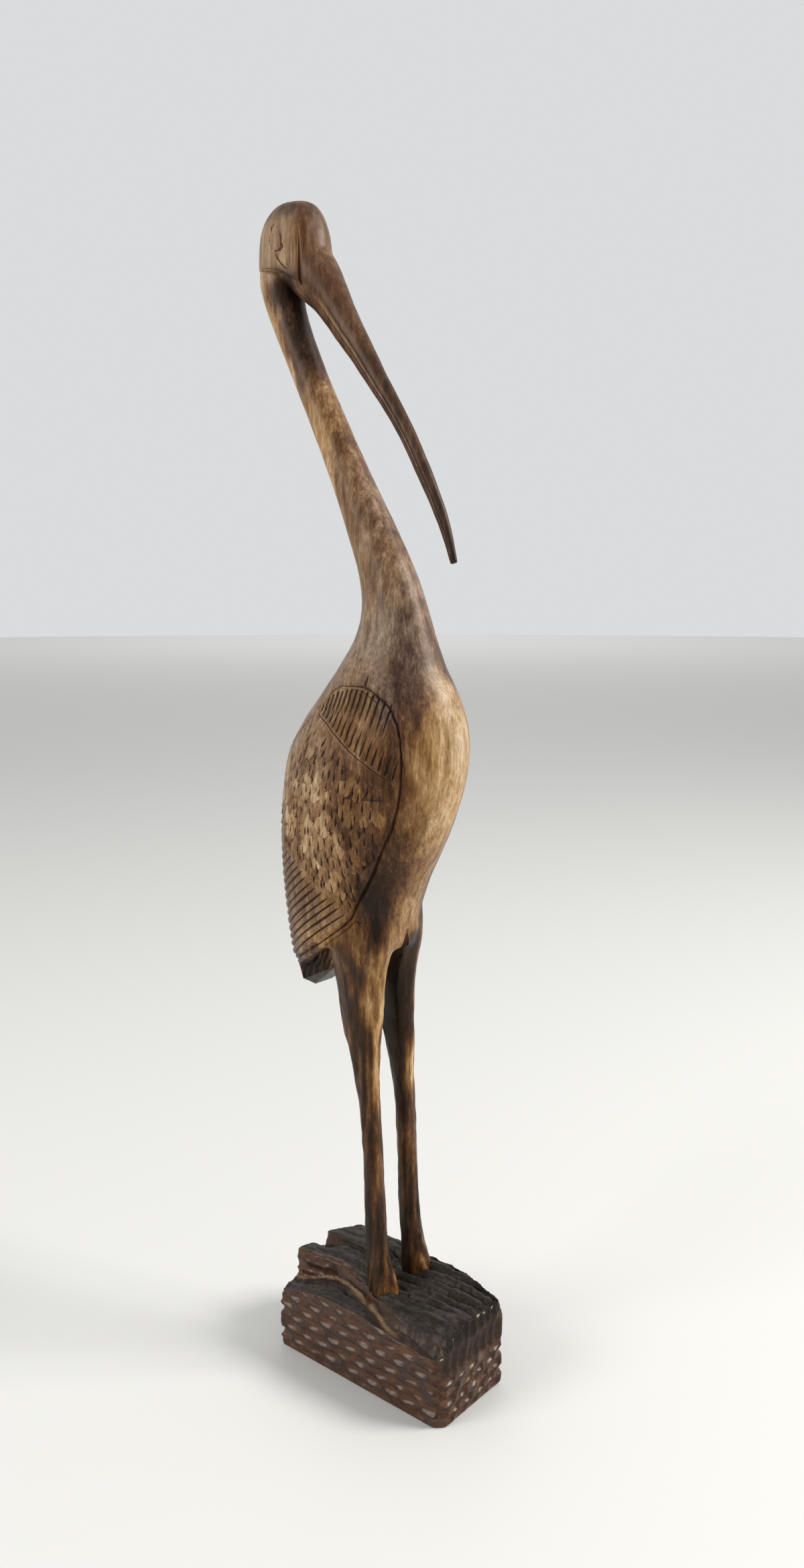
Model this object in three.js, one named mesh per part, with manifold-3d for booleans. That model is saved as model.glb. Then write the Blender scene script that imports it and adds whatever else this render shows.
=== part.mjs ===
// A wooden crane with a long curved bill, standing on a rough block of rock.
// Bird and block are carved as one from a single billet of wood.
// Millimetres, +Z up. The bird looks along -Y, X = 0 is its plane of symmetry,
// and the origin lies on the underside of the block, between the two feet.
import * as THREE from "three";
import Module from "manifold-3d";
import { mergeVertices } from "three/addons/utils/BufferGeometryUtils.js";

const wasm = await Module();
wasm.setup();

// Driving sizes of the whole carving
const LEG_SPACING = 24;
const WING_RAISE = 1.2;
const CUT_WIDTH = 0.9;
const CUT_DEPTH = 1.1;
const FEATHER_PITCH = 3.8;
const SCOOP_LENGTH = 9.6;
const SCOOP_DEPTH = 1.1;
const FLUTE_DEPTH = 1.8;
const RIDGE_DEPTH = 2.6;

// Trunk and neck, from the tail up: level sections through the bird
// height, centre (+ is backwards), half depth, half width
const TRUNK = [
  [178, 35, 20, 17],
  [188, 31.5, 27.5, 21],
  [198, 29.2, 31.5, 23.8],
  [212, 28.8, 33, 26],
  [230, 26.4, 36.8, 28.5],
  [250, 21.5, 42, 30.5],
  [270, 16.6, 44.8, 31.5],
  [287, 13, 44.6, 31],
  [300, 9.6, 40.5, 28.7],
  [312, 6.5, 33.5, 25],
  [324, 5, 25.5, 20.5],
  [336, 3.2, 19.2, 16],
  [348, 3.4, 15.4, 13.4],
  [362, 6.8, 13.4, 11.8],
  [380, 15.1, 12, 10.5],
  [403, 27.2, 9.9, 9.1],
  [427, 40.1, 8.8, 8.2],
  [451, 53, 8.4, 7.9],
  [475, 64.9, 8.9, 8.3],
  [490, 69.5, 9.6, 9.6],
  [500, 70, 9, 9],
];

// Crown and cheeks: level sections in the same terms
const HEAD = [
  [482, 58.6, 17.6, 12.3],
  [492, 60, 18.6, 13.3],
  [500, 60.8, 18.6, 13.6],
  [508, 61, 17.6, 13.2],
  [512.5, 61, 16.3, 12.5],
  [517, 60.8, 14.3, 11],
  [520.7, 60.4, 11.4, 8.7],
  [522.8, 60, 7.8, 5.9],
  [523.7, 60, 3, 2.4],
];

// Bill, from inside the head to the tip: sections square to its curve
// centre, height, half depth, half width
const BILL = [
  [60, 503, 13, 11],
  [48, 491, 11, 9.2],
  [41, 483, 9, 7.4],
  [35.4, 475.3, 7.8, 6.3],
  [29.4, 466.8, 6.9, 5.6],
  [22.3, 457.4, 5.9, 4.8],
  [14, 445.7, 4.9, 4],
  [5.2, 433.8, 4.1, 3.4],
  [-3.3, 421.2, 3.7, 3],
  [-12.2, 405.6, 3.4, 2.8],
  [-19.2, 392.2, 2.9, 2.4],
  [-24.2, 380.9, 2.4, 2],
  [-28.3, 368, 1.5, 1.3],
];

// One leg, from the hip down into the block: level sections in the same terms
const LEG = [
  [232, 17, 18, 11],
  [218, 15.4, 16.8, 12.2],
  [208, 15, 16.4, 12],
  [198, 15.2, 15, 10.3],
  [186, 15.2, 12.4, 7.9],
  [170, 14.4, 10.6, 6.5],
  [160, 13.6, 9.7, 6],
  [152, 11.8, 8.1, 5.5],
  [144, 10.7, 6.8, 5.1],
  [136, 9.6, 5.8, 4.8],
  [126, 8.6, 5, 4.6],
  [110, 7.3, 4.6, 4.5],
  [89, 6.2, 4.6, 4.6],
  [68, 5.1, 5, 4.9],
  [54, 3.6, 5.9, 5.6],
  [44, 1.2, 7.6, 6.8],
  [34, 0, 9.5, 8.5],
];

// A solid from a three.js geometry, with its shared vertices merged
function solidOf(geometry) {
  geometry.deleteAttribute("normal");
  geometry.deleteAttribute("uv");
  const merged = mergeVertices(geometry, 1e-4);
  return new wasm.Manifold(
    new wasm.Mesh({
      numProp: 3,
      vertProperties: merged.attributes.position.array,
      triVerts: new Uint32Array(merged.index.array),
    }),
  );
}

// A row of sizes at t, from 0 at the first station to 1 at the last, on a
// smooth curve through the stations
function station(rows, t) {
  const at = Math.min(t, 1 - 1e-9) * (rows.length - 1);
  const i = Math.floor(at);
  const f = at - i;
  const row = (k) => rows[Math.min(Math.max(k, 0), rows.length - 1)];
  return rows[0].map((_, c) => {
    const [p, q, r, s] = [row(i - 1)[c], row(i)[c], row(i + 1)[c], row(i + 2)[c]];
    return q + 0.5 * f * (r - p + f * (2 * p - 5 * q + 4 * r - s + f * (3 * (q - r) + s - p)));
  });
}

// A closed skin over rings of points, with a point at the middle of each end
function skin(rings) {
  const sides = rings[0].length;
  const points = rings.flat();
  const middle = (ring) =>
    ring.reduce((sum, p) => sum.add(p), new THREE.Vector3()).divideScalar(sides);
  const first = points.push(middle(rings[0])) - 1;
  const last = points.push(middle(rings[rings.length - 1])) - 1;
  const end = (rings.length - 1) * sides;
  const faces = [];
  for (let i = 0; i < sides; i++) {
    const j = (i + 1) % sides;
    faces.push([first, j, i], [last, end + i, end + j]);
    for (let a = 0; a < end; a += sides) {
      faces.push([a + i, a + j, a + sides + j], [a + i, a + sides + j, a + sides + i]);
    }
  }
  return closed(points, faces);
}

// A solid from points and triangles, turned to face outwards
function closed(points, faces) {
  const shape = (list) =>
    solidOf(new THREE.BufferGeometry().setFromPoints(points).setIndex(list.flat()));
  const made = shape(faces);
  return made.volume() > 0 ? made : shape(faces.map(([a, b, c]) => [a, c, b]));
}

// A ring about a centre, spanned by two half axes: power 2 is an ellipse, and
// more is squarer
function oval(centre, deep, wide, sides, power = 2) {
  const bend = (v) => Math.sign(v) * Math.abs(v) ** (2 / power);
  return Array.from({ length: sides }, (_, i) => {
    const turn = (2 * Math.PI * i) / sides;
    return centre
      .clone()
      .addScaledVector(deep, bend(Math.cos(turn)))
      .addScaledVector(wide, bend(Math.sin(turn)));
  });
}

// A body of level sections, fuller all round by swell
function turned(rows, steps, sides, swell = 0) {
  const rings = Array.from({ length: steps + 1 }, (_, k) => {
    const [z, y, a, b] = station(rows, k / steps);
    const deep = new THREE.Vector3(0, a + swell, 0);
    return oval(new THREE.Vector3(0, y, z), deep, new THREE.Vector3(b + swell, 0, 0), sides);
  });
  return skin(rings);
}

// A plate with the given outline in side view, [back, up] points, as wide as
// the bird between left and right
function plate(outline, left = -60, right = 60) {
  const shape = new THREE.Shape(outline.map(([y, z]) => new THREE.Vector2(y, z)));
  const across = new THREE.ExtrudeGeometry(shape, { depth: right - left, bevelEnabled: false });
  const sideways = new THREE.Matrix4().makeBasis(
    new THREE.Vector3(0, 1, 0),
    new THREE.Vector3(0, 0, 1),
    new THREE.Vector3(1, 0, 0),
  );
  return solidOf(across.applyMatrix4(sideways).translate(left, 0, 0));
}

// The level section of a body at height z: centre, half depth, half width
function sectionAt(rows, z) {
  let [low, high] = [0, 1];
  for (let k = 0; k < 20; k++) {
    const middle = (low + high) / 2;
    if (station(rows, middle)[0] < z) {
      low = middle;
    } else {
      high = middle;
    }
  }
  return station(rows, low).slice(1);
}

const onWing = (z) => sectionAt(TRUNK, z).map((v, i) => (i > 0 ? v + WING_RAISE : v));
const onHead = (z) => sectionAt(HEAD, z);

// A V-shaped gouge cut along a flank, through side-view points [back, up],
// running out to nothing at both ends. Side -1 is the right flank, 1 the left
function gouge(sectionOf, side, path, width = CUT_WIDTH, depth = CUT_DEPTH) {
  const proud = 0.8;
  const half = (width * (depth + proud)) / (2 * depth);
  const places = path.map(([y, z]) => {
    const [yc, a, b] = sectionOf(z);
    const c = THREE.MathUtils.clamp((y - yc) / a, -0.99, 0.99);
    const x = side * b * Math.sqrt(1 - c * c);
    const outward = new THREE.Vector3(x / b ** 2, (y - yc) / a ** 2, 0).normalize();
    return { at: new THREE.Vector3(x, yc + a * c, z), outward };
  });
  const rings = places.map(({ at, outward }, k) => {
    const before = places[Math.max(k - 1, 0)];
    const after = places[Math.min(k + 1, places.length - 1)];
    const across = after.at.clone().sub(before.at).cross(outward).normalize();
    const end = before === places[k] || after === places[k];
    const top = at.clone().addScaledVector(outward, proud);
    if (end) return [top];
    const edge = (s) => top.clone().addScaledVector(across, s * half);
    return [edge(1), edge(-1), at.clone().addScaledVector(outward, -depth)];
  });
  return blade(rings);
}

// A closed solid through a first point, rings of three, and a last point
function blade(rings) {
  const points = rings.flat();
  const last = points.length - 1;
  const faces = [];
  for (let i = 0; i < 3; i++) {
    const j = (i + 1) % 3;
    faces.push([0, 1 + j, 1 + i], [last, last - 3 + i, last - 3 + j]);
    for (let a = 1; a < last - 3; a += 3) {
      faces.push([a + i, a + j, a + 3 + j], [a + i, a + 3 + j, a + 3 + i]);
    }
  }
  return closed(points, faces);
}

// Points evenly spaced on a straight side-view line, for a gouge
function line([y0, z0], [y1, z1], count = 3) {
  return Array.from({ length: count }, (_, k) => {
    const t = k / (count - 1);
    return [y0 + (y1 - y0) * t, z0 + (z1 - z0) * t];
  });
}

const joined = (pieces) => wasm.Manifold.union(pieces);

// The bulk of the body, cut back under the tail, and hollowed to a pointed
// arch between the legs
function trunk() {
  const below = plate([
    [-60, 203],
    [22, 203],
    [58, 179],
    [75, 179],
    [75, 150],
    [-60, 150],
  ]);
  return turned(TRUNK, 40, 22).subtract(below).subtract(betweenThighs());
}

// The pointed arch over the gap between the legs, right through from the
// breast to the tail
function betweenThighs() {
  const foot = LEG_SPACING / 2;
  const arch = new THREE.Shape([
    new THREE.Vector2(-foot, 190),
    new THREE.Vector2(foot, 190),
    new THREE.Vector2(0, 211),
  ]);
  const length = 46;
  const through = new THREE.ExtrudeGeometry(arch, { depth: length, bevelEnabled: false });
  const lying = new THREE.Matrix4().makeBasis(
    new THREE.Vector3(1, 0, 0),
    new THREE.Vector3(0, 0, 1),
    new THREE.Vector3(0, -1, 0),
  );
  return solidOf(through.applyMatrix4(lying).translate(0, 18, 0));
}

// Both wings: the body's own skin raised inside the outline of the wing
function wings() {
  const outline = new THREE.Path()
    .moveTo(9.9, 215.2)
    .lineTo(-2.7, 238.2)
    .lineTo(-12.5, 257.6)
    .bezierCurveTo(-18, 268, -19.5, 281, -18.3, 293)
    .bezierCurveTo(-16.5, 310, -8, 317.5, 6, 317.5)
    .bezierCurveTo(20, 317.5, 26, 310, 34.6, 299.5)
    .lineTo(51.8, 286.5)
    .lineTo(75, 272)
    .lineTo(75, 168.5);
  const points = outline.getPoints(4).map((p) => [p.x, p.y]);
  return turned(TRUNK, 40, 22, WING_RAISE).intersect(plate(points)).subtract(backSeam());
}

// Every cut in the wing of one side
const feathers = (side) => [...flightFeathers(side), ...coverts(side), ...scales(side)];

// Long parallel cuts from the lower edge of the scales back to the tail
function flightFeathers(side) {
  const slope = 0.7;
  const edge = 64;
  return Array.from({ length: 15 }, (_, k) => {
    const low = 178 + FEATHER_PITCH * (k + 1);
    const heightAt = (y) => low + slope * (edge - y);
    const start = (heightAt(0) - 206) / (slope + 0.9);
    let end = 60;
    for (let n = 0; n < 3; n++) {
      const [yc, a] = onWing(heightAt(end));
      end = yc + 0.95 * a;
    }
    return gouge(onWing, side, line([start, heightAt(start)], [end, heightAt(end)], 5));
  });
}

// The band along the shoulder: a ledge with two rows of cuts above it
function coverts(side) {
  const back = [27, 304.5];
  const front = [-17, 276.8];
  const along = (u) => [back[0] + (front[0] - back[0]) * u, back[1] + (front[1] - back[1]) * u];
  const cuts = [gouge(onWing, side, line(back, front, 6))];
  for (let k = 1; k <= 11; k++) {
    const [y, z] = along(0.083 * k);
    const reach = Math.min(0.35 + 0.15 * k, 1);
    cuts.push(gouge(onWing, side, line([y, z + 1.2], [y - 3.6 * reach, z + 1.2 + 10.5 * reach])));
  }
  for (let k = 0; k < 8; k++) {
    const y = 18.5 - 4 * k;
    const top = 316 - 0.018 * (y - 5) ** 2;
    cuts.push(gouge(onWing, side, line([y, top], [y + 1.4, top - 11 - 0.4 * k])));
  }
  return cuts;
}

// Short upright chisel cuts in staggered rows, over the middle of the wing
function scales(side) {
  const cuts = [];
  for (let row = 0; row < 8; row++) {
    for (let k = 0; k < 9; k++) {
      const y = -13 + 8.5 * k + 4.25 * (row % 2);
      const z = 297 - 11 * row;
      const underBand = z < 284 + 0.64 * (y + 6);
      const overFeathers = z - 7 > 215 + 0.9 * (y - 10) + 2;
      const behindEdge = y > -14 + Math.max(0, 262 - z) * 0.55;
      const onFlank = y < 48;
      if (underBand && overFeathers && behindEdge && onFlank) {
        cuts.push(gouge(onWing, side, line([y, z], [y + 0.6, z - 8]), 1.8));
      }
    }
  }
  return cuts;
}

// The seam where the two wings meet along the back
function backSeam() {
  return plate(
    [
      [30, 150],
      [80, 150],
      [80, 330],
      [30, 330],
    ],
    -0.8,
    0.8,
  );
}

// The stub of the tail under the wing tips, cut square with its lower edges
// chamfered
function tail() {
  const corners = [-1, 1].flatMap((side) => [
    [side * 13, 30, 192],
    [side * 13, 50, 190],
    [side * 12, 53.4, 181],
    [side * 12, 50.6, 176.7],
    [side * 12, 30, 188],
    [side * 6, 52.7, 170],
    [side * 6, 30, 186],
  ]);
  return wasm.Manifold.hull(corners);
}

function leg(side) {
  const steps = 18;
  const squareness = 2.3;
  const rings = Array.from({ length: steps + 1 }, (_, k) => {
    const [z, y, a, b] = station(LEG, k / steps);
    const centre = new THREE.Vector3((side * LEG_SPACING) / 2, y, z);
    const [deep, wide] = [new THREE.Vector3(0, a, 0), new THREE.Vector3(b, 0, 0)];
    return oval(centre, deep, wide, 12, squareness);
  });
  return skin(rings);
}

// Crown and cheeks, cut off below along the jaw, with the eyes and cheek cuts
function head() {
  const underJaw = plate([
    [90, 498.5],
    [70, 495.5],
    [60, 493.3],
    [53, 490],
    [44, 484],
    [44, 440],
    [90, 440],
  ]);
  const cuts = [-1, 1].flatMap((side) => [
    gouge(onHead, side, [[64.5, 515], [64, 508], [62, 502.5], [59.5, 500.5]], 1),
    gouge(onHead, side, [[64.5, 515], [59, 511], [56.6, 505], [59.5, 500.5]], 1),
    gouge(onHead, side, [[59.5, 500.5], [56.5, 497], [54.5, 493.5]], 1.6),
    gouge(onHead, side, [[49.6, 513], [48.8, 500], [48.4, 485]], 1.1),
  ]);
  return turned(HEAD, 10, 18).subtract(underJaw).subtract(joined(cuts));
}

// The long bill, curving down from the forehead to its tip
function bill() {
  const steps = 16;
  const rings = Array.from({ length: steps + 1 }, (_, k) => {
    const t = k / steps;
    const [y, z, a, b] = station(BILL, t);
    const [y0, z0] = station(BILL, Math.max(t - 0.02, 0));
    const [y1, z1] = station(BILL, Math.min(t + 0.02, 1));
    const up = new THREE.Vector3(0, z1 - z0, y0 - y1).normalize();
    const centre = new THREE.Vector3(0, y, z);
    return oval(centre, up.multiplyScalar(a), new THREE.Vector3(b, 0, 0), 12);
  });
  return skin(rings);
}

// The block of rock: chisel scoops round the sides, flutes over the front
// end, and ridges along the broken top
function block() {
  const plan = new THREE.Path([
    new THREE.Vector2(-31.2, 48.4),
    new THREE.Vector2(-31.2, -44.5),
    new THREE.Vector2(-27.5, -48.4),
    new THREE.Vector2(12.4, -48.4),
    new THREE.Vector2(23.7, -15),
    new THREE.Vector2(26, 8),
    new THREE.Vector2(21, 42),
    new THREE.Vector2(5, 51.5),
    new THREE.Vector2(-14, 52.5),
    new THREE.Vector2(-31.2, 48.4),
  ]);
  const columns = 2 * Math.round(plan.getLength() / SCOOP_LENGTH);
  const rows = 13;
  const rowHeight = 3.5;
  const points = [];
  for (let j = 0; j <= rows; j++) {
    for (let i = 0; i < columns; i++) {
      const slant = 0.5 * j;
      const at = plan.getPointAt((((i + slant) / columns) % 1 + 1) % 1);
      const inside = at.clone().multiplyScalar(1 / at.length());
      const fluted = at.y < -44 && j * rowHeight > 20;
      const hollow = (i + j) % 2 === 1 && j > 0 && j < rows;
      const depth = fluted ? FLUTE_DEPTH * (i % 2) : SCOOP_DEPTH * hollow;
      points.push(new THREE.Vector3(at.x - inside.x * depth, at.y - inside.y * depth, j * rowHeight));
    }
  }
  const faces = [];
  for (let j = 0; j < rows; j++) {
    for (let i = 0; i < columns; i++) {
      const next = (i + 1) % columns;
      const [a, b] = [j * columns + i, j * columns + next];
      const [c, d] = [b + columns, a + columns];
      if ((i + j) % 2 === 0) {
        faces.push([a, b, c], [a, c, d]);
      } else {
        faces.push([a, b, d], [b, c, d]);
      }
    }
  }
  const floor = points.push(new THREE.Vector3(0, 0, 0)) - 1;
  const lid = points.push(new THREE.Vector3(0, 0, rows * rowHeight)) - 1;
  for (let i = 0; i < columns; i++) {
    const next = (i + 1) % columns;
    faces.push([floor, next, i], [lid, rows * columns + i, rows * columns + next]);
  }
  return closed(points, faces).intersect(rockTop());
}

// Everything under the broken top: a shelf low along the near side, then
// ridges that run the length of the block
function rockTop() {
  const lengths = [-60, -48, -34, -20, -6, 8, 22, 36, 47, 60];
  const across = [-40, -31, -26, -21, -20, -15, -10, -5, 0, 3, 4, 8, 13, 18, 23, 30];
  const points = [];
  const heights = (x, y, i) => {
    const shelf = -15 - Math.max(0, 22 - y) * 0.3;
    const ridge = i % 2 === 0 ? 0 : -RIDGE_DEPTH;
    const wave = 1.2 * Math.sin(0.11 * y + 0.9 * x);
    if (x < shelf) {
      return 34 + wave * 0.5 - Math.abs(y) * 0.05;
    }
    return 41.5 + ridge + wave + (x > 3 ? 1 : 0);
  };
  for (const y of lengths) {
    across.forEach((x, i) => points.push(new THREE.Vector3(x, y, heights(x, y, i))));
  }
  const count = points.length;
  for (const y of lengths) {
    across.forEach((x) => points.push(new THREE.Vector3(x, y, -5)));
  }
  const faces = [];
  const w = across.length;
  const h = lengths.length;
  for (let j = 0; j < h - 1; j++) {
    for (let i = 0; i < w - 1; i++) {
      const [a, b, c, d] = [j * w + i, j * w + i + 1, (j + 1) * w + i + 1, (j + 1) * w + i];
      faces.push([a, b, c], [a, c, d]);
      faces.push([count + a, count + c, count + b], [count + a, count + d, count + c]);
    }
  }
  const wall = (a, b) => faces.push([a, count + a, count + b], [a, count + b, b]);
  for (let i = 0; i < w - 1; i++) {
    wall(i, i + 1);
    wall((h - 1) * w + i + 1, (h - 1) * w + i);
  }
  for (let j = 0; j < h - 1; j++) {
    wall((j + 1) * w, j * w);
    wall(j * w + w - 1, (j + 1) * w + w - 1);
  }
  return closed(points, faces);
}

const body = trunk()
  .add(wings())
  .subtract(joined([...feathers(-1), ...feathers(1)]));
const carving = joined([body, tail(), leg(-1), leg(1), head(), bill(), block()]).simplify(0.15);

function geometryOf(solid) {
  const { vertProperties, triVerts } = solid.getMesh();
  const geometry = new THREE.BufferGeometry();
  geometry.setAttribute("position", new THREE.BufferAttribute(vertProperties, 3));
  geometry.setIndex(new THREE.BufferAttribute(triVerts, 1));
  geometry.computeVertexNormals();
  return geometry;
}

const crane = new THREE.Mesh(
  geometryOf(carving),
  new THREE.MeshStandardMaterial({ color: 0x8a6238, roughness: 0.42, metalness: 0 }),
);
crane.name = "crane_on_rock";

const group = new THREE.Group();
group.add(crane);
export default group;
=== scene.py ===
import math

import bpy
import numpy as np
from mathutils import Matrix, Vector, noise


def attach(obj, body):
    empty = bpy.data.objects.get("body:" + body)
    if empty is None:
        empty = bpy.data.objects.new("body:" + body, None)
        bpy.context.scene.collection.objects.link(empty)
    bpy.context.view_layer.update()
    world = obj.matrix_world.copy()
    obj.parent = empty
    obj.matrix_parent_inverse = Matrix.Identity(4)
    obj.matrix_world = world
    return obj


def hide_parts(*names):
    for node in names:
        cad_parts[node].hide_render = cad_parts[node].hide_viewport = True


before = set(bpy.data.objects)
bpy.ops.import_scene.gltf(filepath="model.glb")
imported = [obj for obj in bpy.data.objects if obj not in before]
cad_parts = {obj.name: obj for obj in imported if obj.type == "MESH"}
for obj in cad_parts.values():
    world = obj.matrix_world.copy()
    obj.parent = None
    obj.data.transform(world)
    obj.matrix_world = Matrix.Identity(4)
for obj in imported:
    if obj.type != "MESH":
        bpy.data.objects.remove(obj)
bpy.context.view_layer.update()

# Camera
# Level with the root of the bird's neck, to the right of its front, looking slightly
# down, as the photograph was taken.
VIEW_WAY = (0.765, 0.644)
VIEW_TILT = math.radians(9.21)

camera = bpy.data.objects.new("camera", bpy.data.cameras.new("camera"))
bpy.context.scene.collection.objects.link(camera)
camera.location = (-0.3986, -0.3359, 0.3578)
level = math.cos(VIEW_TILT)
looking = Vector((VIEW_WAY[0] * level, VIEW_WAY[1] * level, -math.sin(VIEW_TILT)))
camera.rotation_euler = looking.to_track_quat("-Z", "Y").to_euler()
camera.data.lens = 27.68
camera.data.sensor_width = 36
camera.data.clip_start = 0.02
bpy.context.scene.camera = camera

# Floor and light
# A plain pale floor in an even pale surround. A large soft lamp stands at the bird's
# front left, a weaker one behind its right, and a third evens out the far floor.


def start(name, primitive, **settings):
    """A fresh primitive, open in edit mode with all of it selected."""
    bpy.ops.object.select_all(action="DESELECT")
    primitive(**settings)
    piece = bpy.context.object
    piece.name = name
    piece.data.name = name
    bpy.ops.object.mode_set(mode="EDIT")
    bpy.ops.mesh.select_all(action="SELECT")
    return piece


def set_down():
    """The piece in hand is left as it now is, out of edit mode."""
    bpy.ops.object.mode_set(mode="OBJECT")


def feed(tree, inputs, feeds):
    """Each input gets the socket or the plain value given for it."""
    for key, source in feeds.items():
        if isinstance(source, bpy.types.NodeSocket):
            tree.links.new(source, inputs[key])
        else:
            inputs[key].default_value = source


def put(tree, kind, feeds=None, **settings):
    """A node, its settings and what feeds its inputs."""
    node = tree.nodes.new(kind)
    for setting, value in settings.items():
        setattr(node, setting, value)
    feed(tree, node.inputs, feeds or {})
    return node


def fade(tree, value, low, high, least=0, most=1, kind="SMOOTHSTEP"):
    """A value carried over from the span low to high to the span least to most."""
    spans = {0: value, 1: low, 2: high, 3: least, 4: most}
    return put(tree, "ShaderNodeMapRange", spans, interpolation_type=kind).outputs[0]


def fresh_paint(name):
    """A new material, its nodes and the inputs of its shader."""
    paint = bpy.data.materials.new(name)
    paint.use_nodes = True
    return paint, paint.node_tree, paint.node_tree.nodes["Principled BSDF"].inputs


floor = start("floor", bpy.ops.mesh.primitive_circle_add, vertices=64, radius=9, fill_type="NGON")
bpy.ops.mesh.inset(thickness=7)
set_down()
floor_paint, tree, shader = fresh_paint("pale_floor")
feed(tree, shader, {"Base Color": (0.74, 0.74, 0.72, 1), "Roughness": 0.7})
floor.data.materials.append(floor_paint)

surround = bpy.data.worlds.new("surround")
surround.use_nodes = True
sky = surround.node_tree
way = put(sky, "ShaderNodeTexCoord").outputs["Generated"]
ahead = put(sky, "ShaderNodeVectorMath", {0: way, 1: (*VIEW_WAY, 0)}, operation="DOT_PRODUCT")
even = fade(sky, ahead.outputs["Value"], -0.7, 0.6, 0.34, 0.72)
feed(sky, sky.nodes["Background"].inputs, {"Color": (0.98, 0.99, 1, 1), "Strength": even})
bpy.context.scene.world = surround
bpy.context.scene.view_settings.view_transform = "Standard"


def lamp(name, place, target, size, power, colour):
    """A round soft lamp, turned to its target."""
    light = bpy.data.lights.new(name, "AREA")
    light.shape = "DISK"
    light.size = size
    light.energy = power
    light.color = colour
    holder = bpy.data.objects.new(name, light)
    bpy.context.scene.collection.objects.link(holder)
    holder.location = place
    holder.rotation_euler = (Vector(target) - Vector(place)).to_track_quat("-Z", "Y").to_euler()


lamp("window", (0.75, -1.15, 1.25), (0, 0, 0.28), 0.7, 27, (1, 0.98, 0.94))
lamp("room", (-1.3, 0.5, 1.0), (0, 0, 0.25), 0.8, 11, (1, 0.98, 0.95))
lamp("far floor", (6.2, 5.2, 4.6), (7.0, 5.9, 0), 5, 105, (1, 0.99, 0.97))

# The rock
# A rough block under the bird's feet, left on the same billet of wood: sawn to
# shape, gouged all round with short scoops, its top torn into ridges and scorched.
MM = 0.001
ROCK_PLAN = [
    (-31.2, 48.4), (-31.2, -44.5), (-27.5, -48.4), (12.4, -48.4), (23.7, -15), (26, 8),
    (21, 42), (5, 51.5), (-14, 52.5),
]
ROCK_HEIGHT = 46
SHELF = [  # how far back, and how far aside the shelf ends there
    (-32, -31.5), (-16, -28.3), (5, -19.8), (28, -13.7), (37, -16), (48, -18),
]
SIDE_SCOOPS = {"pitch": (11.4, 5.4), "lean": -0.14, "length": 6.8, "width": 2.8, "seed": 3}
FRONT_SCOOPS = {"pitch": (8.6, 4.8), "lean": 0.16, "length": 5.2, "width": 2.5, "seed": 8}
FLUTES = {"pitch": (5.3, 12.5), "lean": 1.42, "length": 9.5, "width": 2.9, "seed": 5}
SCOOP_DEPTH = 1.9
FLUTE_DEPTH = 2.4
RIM_NOTCH = 2.6
RIDGE_PITCH = 6.2
RIDGE_DEPTH = 3.6
RIDGE_LENGTH = 19
RIDGE_STEP = 2
CHIP = 1.9
FOOT_CHIPS = [
    (-13.3, -5.8, 43.8), (-16.7, -4.8, 42.9), (6.8, -3.6, 43.6), (-18.9, -0.2, 41.8),
    (10, 3, 44),
]


def saw(point, outward):
    """Everything beyond a plane is cut off, and the cut is closed."""
    bpy.ops.mesh.select_all(action="SELECT")
    bpy.ops.mesh.bisect(
        plane_co=Vector(point) * MM,
        plane_no=Vector(outward).normalized(),
        use_fill=True,
        clear_outer=True,
    )


def block(name, size, middle):
    """A block of wood of that size about its middle, open in edit mode."""
    piece = start(name, bpy.ops.mesh.primitive_cube_add, size=1)
    bpy.ops.transform.resize(value=size)
    bpy.ops.transform.translate(value=middle)
    return piece


def take_up(piece):
    """Only this piece is selected and active."""
    bpy.ops.object.select_all(action="DESELECT")
    piece.select_set(True)
    bpy.context.view_layer.objects.active = piece


def finish_with(piece, kind, **settings):
    """A modifier is put on a piece and applied."""
    change = piece.modifiers.new(kind.lower(), kind)
    for setting, value in settings.items():
        setattr(change, setting, value)
    take_up(piece)
    bpy.ops.object.modifier_apply(modifier=change.name)


def skin_of(piece):
    """Where a mesh's corners are, in millimetres, and which way each one faces."""
    at = np.empty(len(piece.data.vertices) * 3)
    facing = np.empty_like(at)
    piece.data.vertices.foreach_get("co", at)
    piece.data.vertices.foreach_get("normal", facing)
    return at.reshape(-1, 3) / MM, facing.reshape(-1, 3)


def carve_to(piece, at):
    """The corners of a mesh are moved to new places, given in millimetres."""
    piece.data.vertices.foreach_set("co", (at * MM).ravel())
    piece.data.update()


def attribute(piece, name, amount):
    """A value at each corner of a mesh, which its material reads."""
    layer = piece.data.attributes.new(name, "FLOAT", "POINT")
    layer.data.foreach_set("value", np.asarray(amount, np.float32))


def dice(a, b, seed):
    """A fixed random number from 0 to 1 for each pair of whole numbers."""
    return (np.sin(a * 12.9898 + b * 78.233 + seed * 37.719) * 43758.5453) % 1


def ramp(value, low, high):
    """0 up to low, 1 from high on, and a smooth slope between."""
    t = np.clip((value - low) / (high - low), 0, 1)
    return t * t * (3 - 2 * t)


def lumps(at, size, seed=0):
    """Soft random unevenness, about -1 to 1, with lumps of that size in millimetres."""
    offset = Vector((seed * 7.3, seed * 3.1, seed * 5.7))
    return np.array([noise.noise(Vector(p) / size + offset) for p in at])


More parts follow.
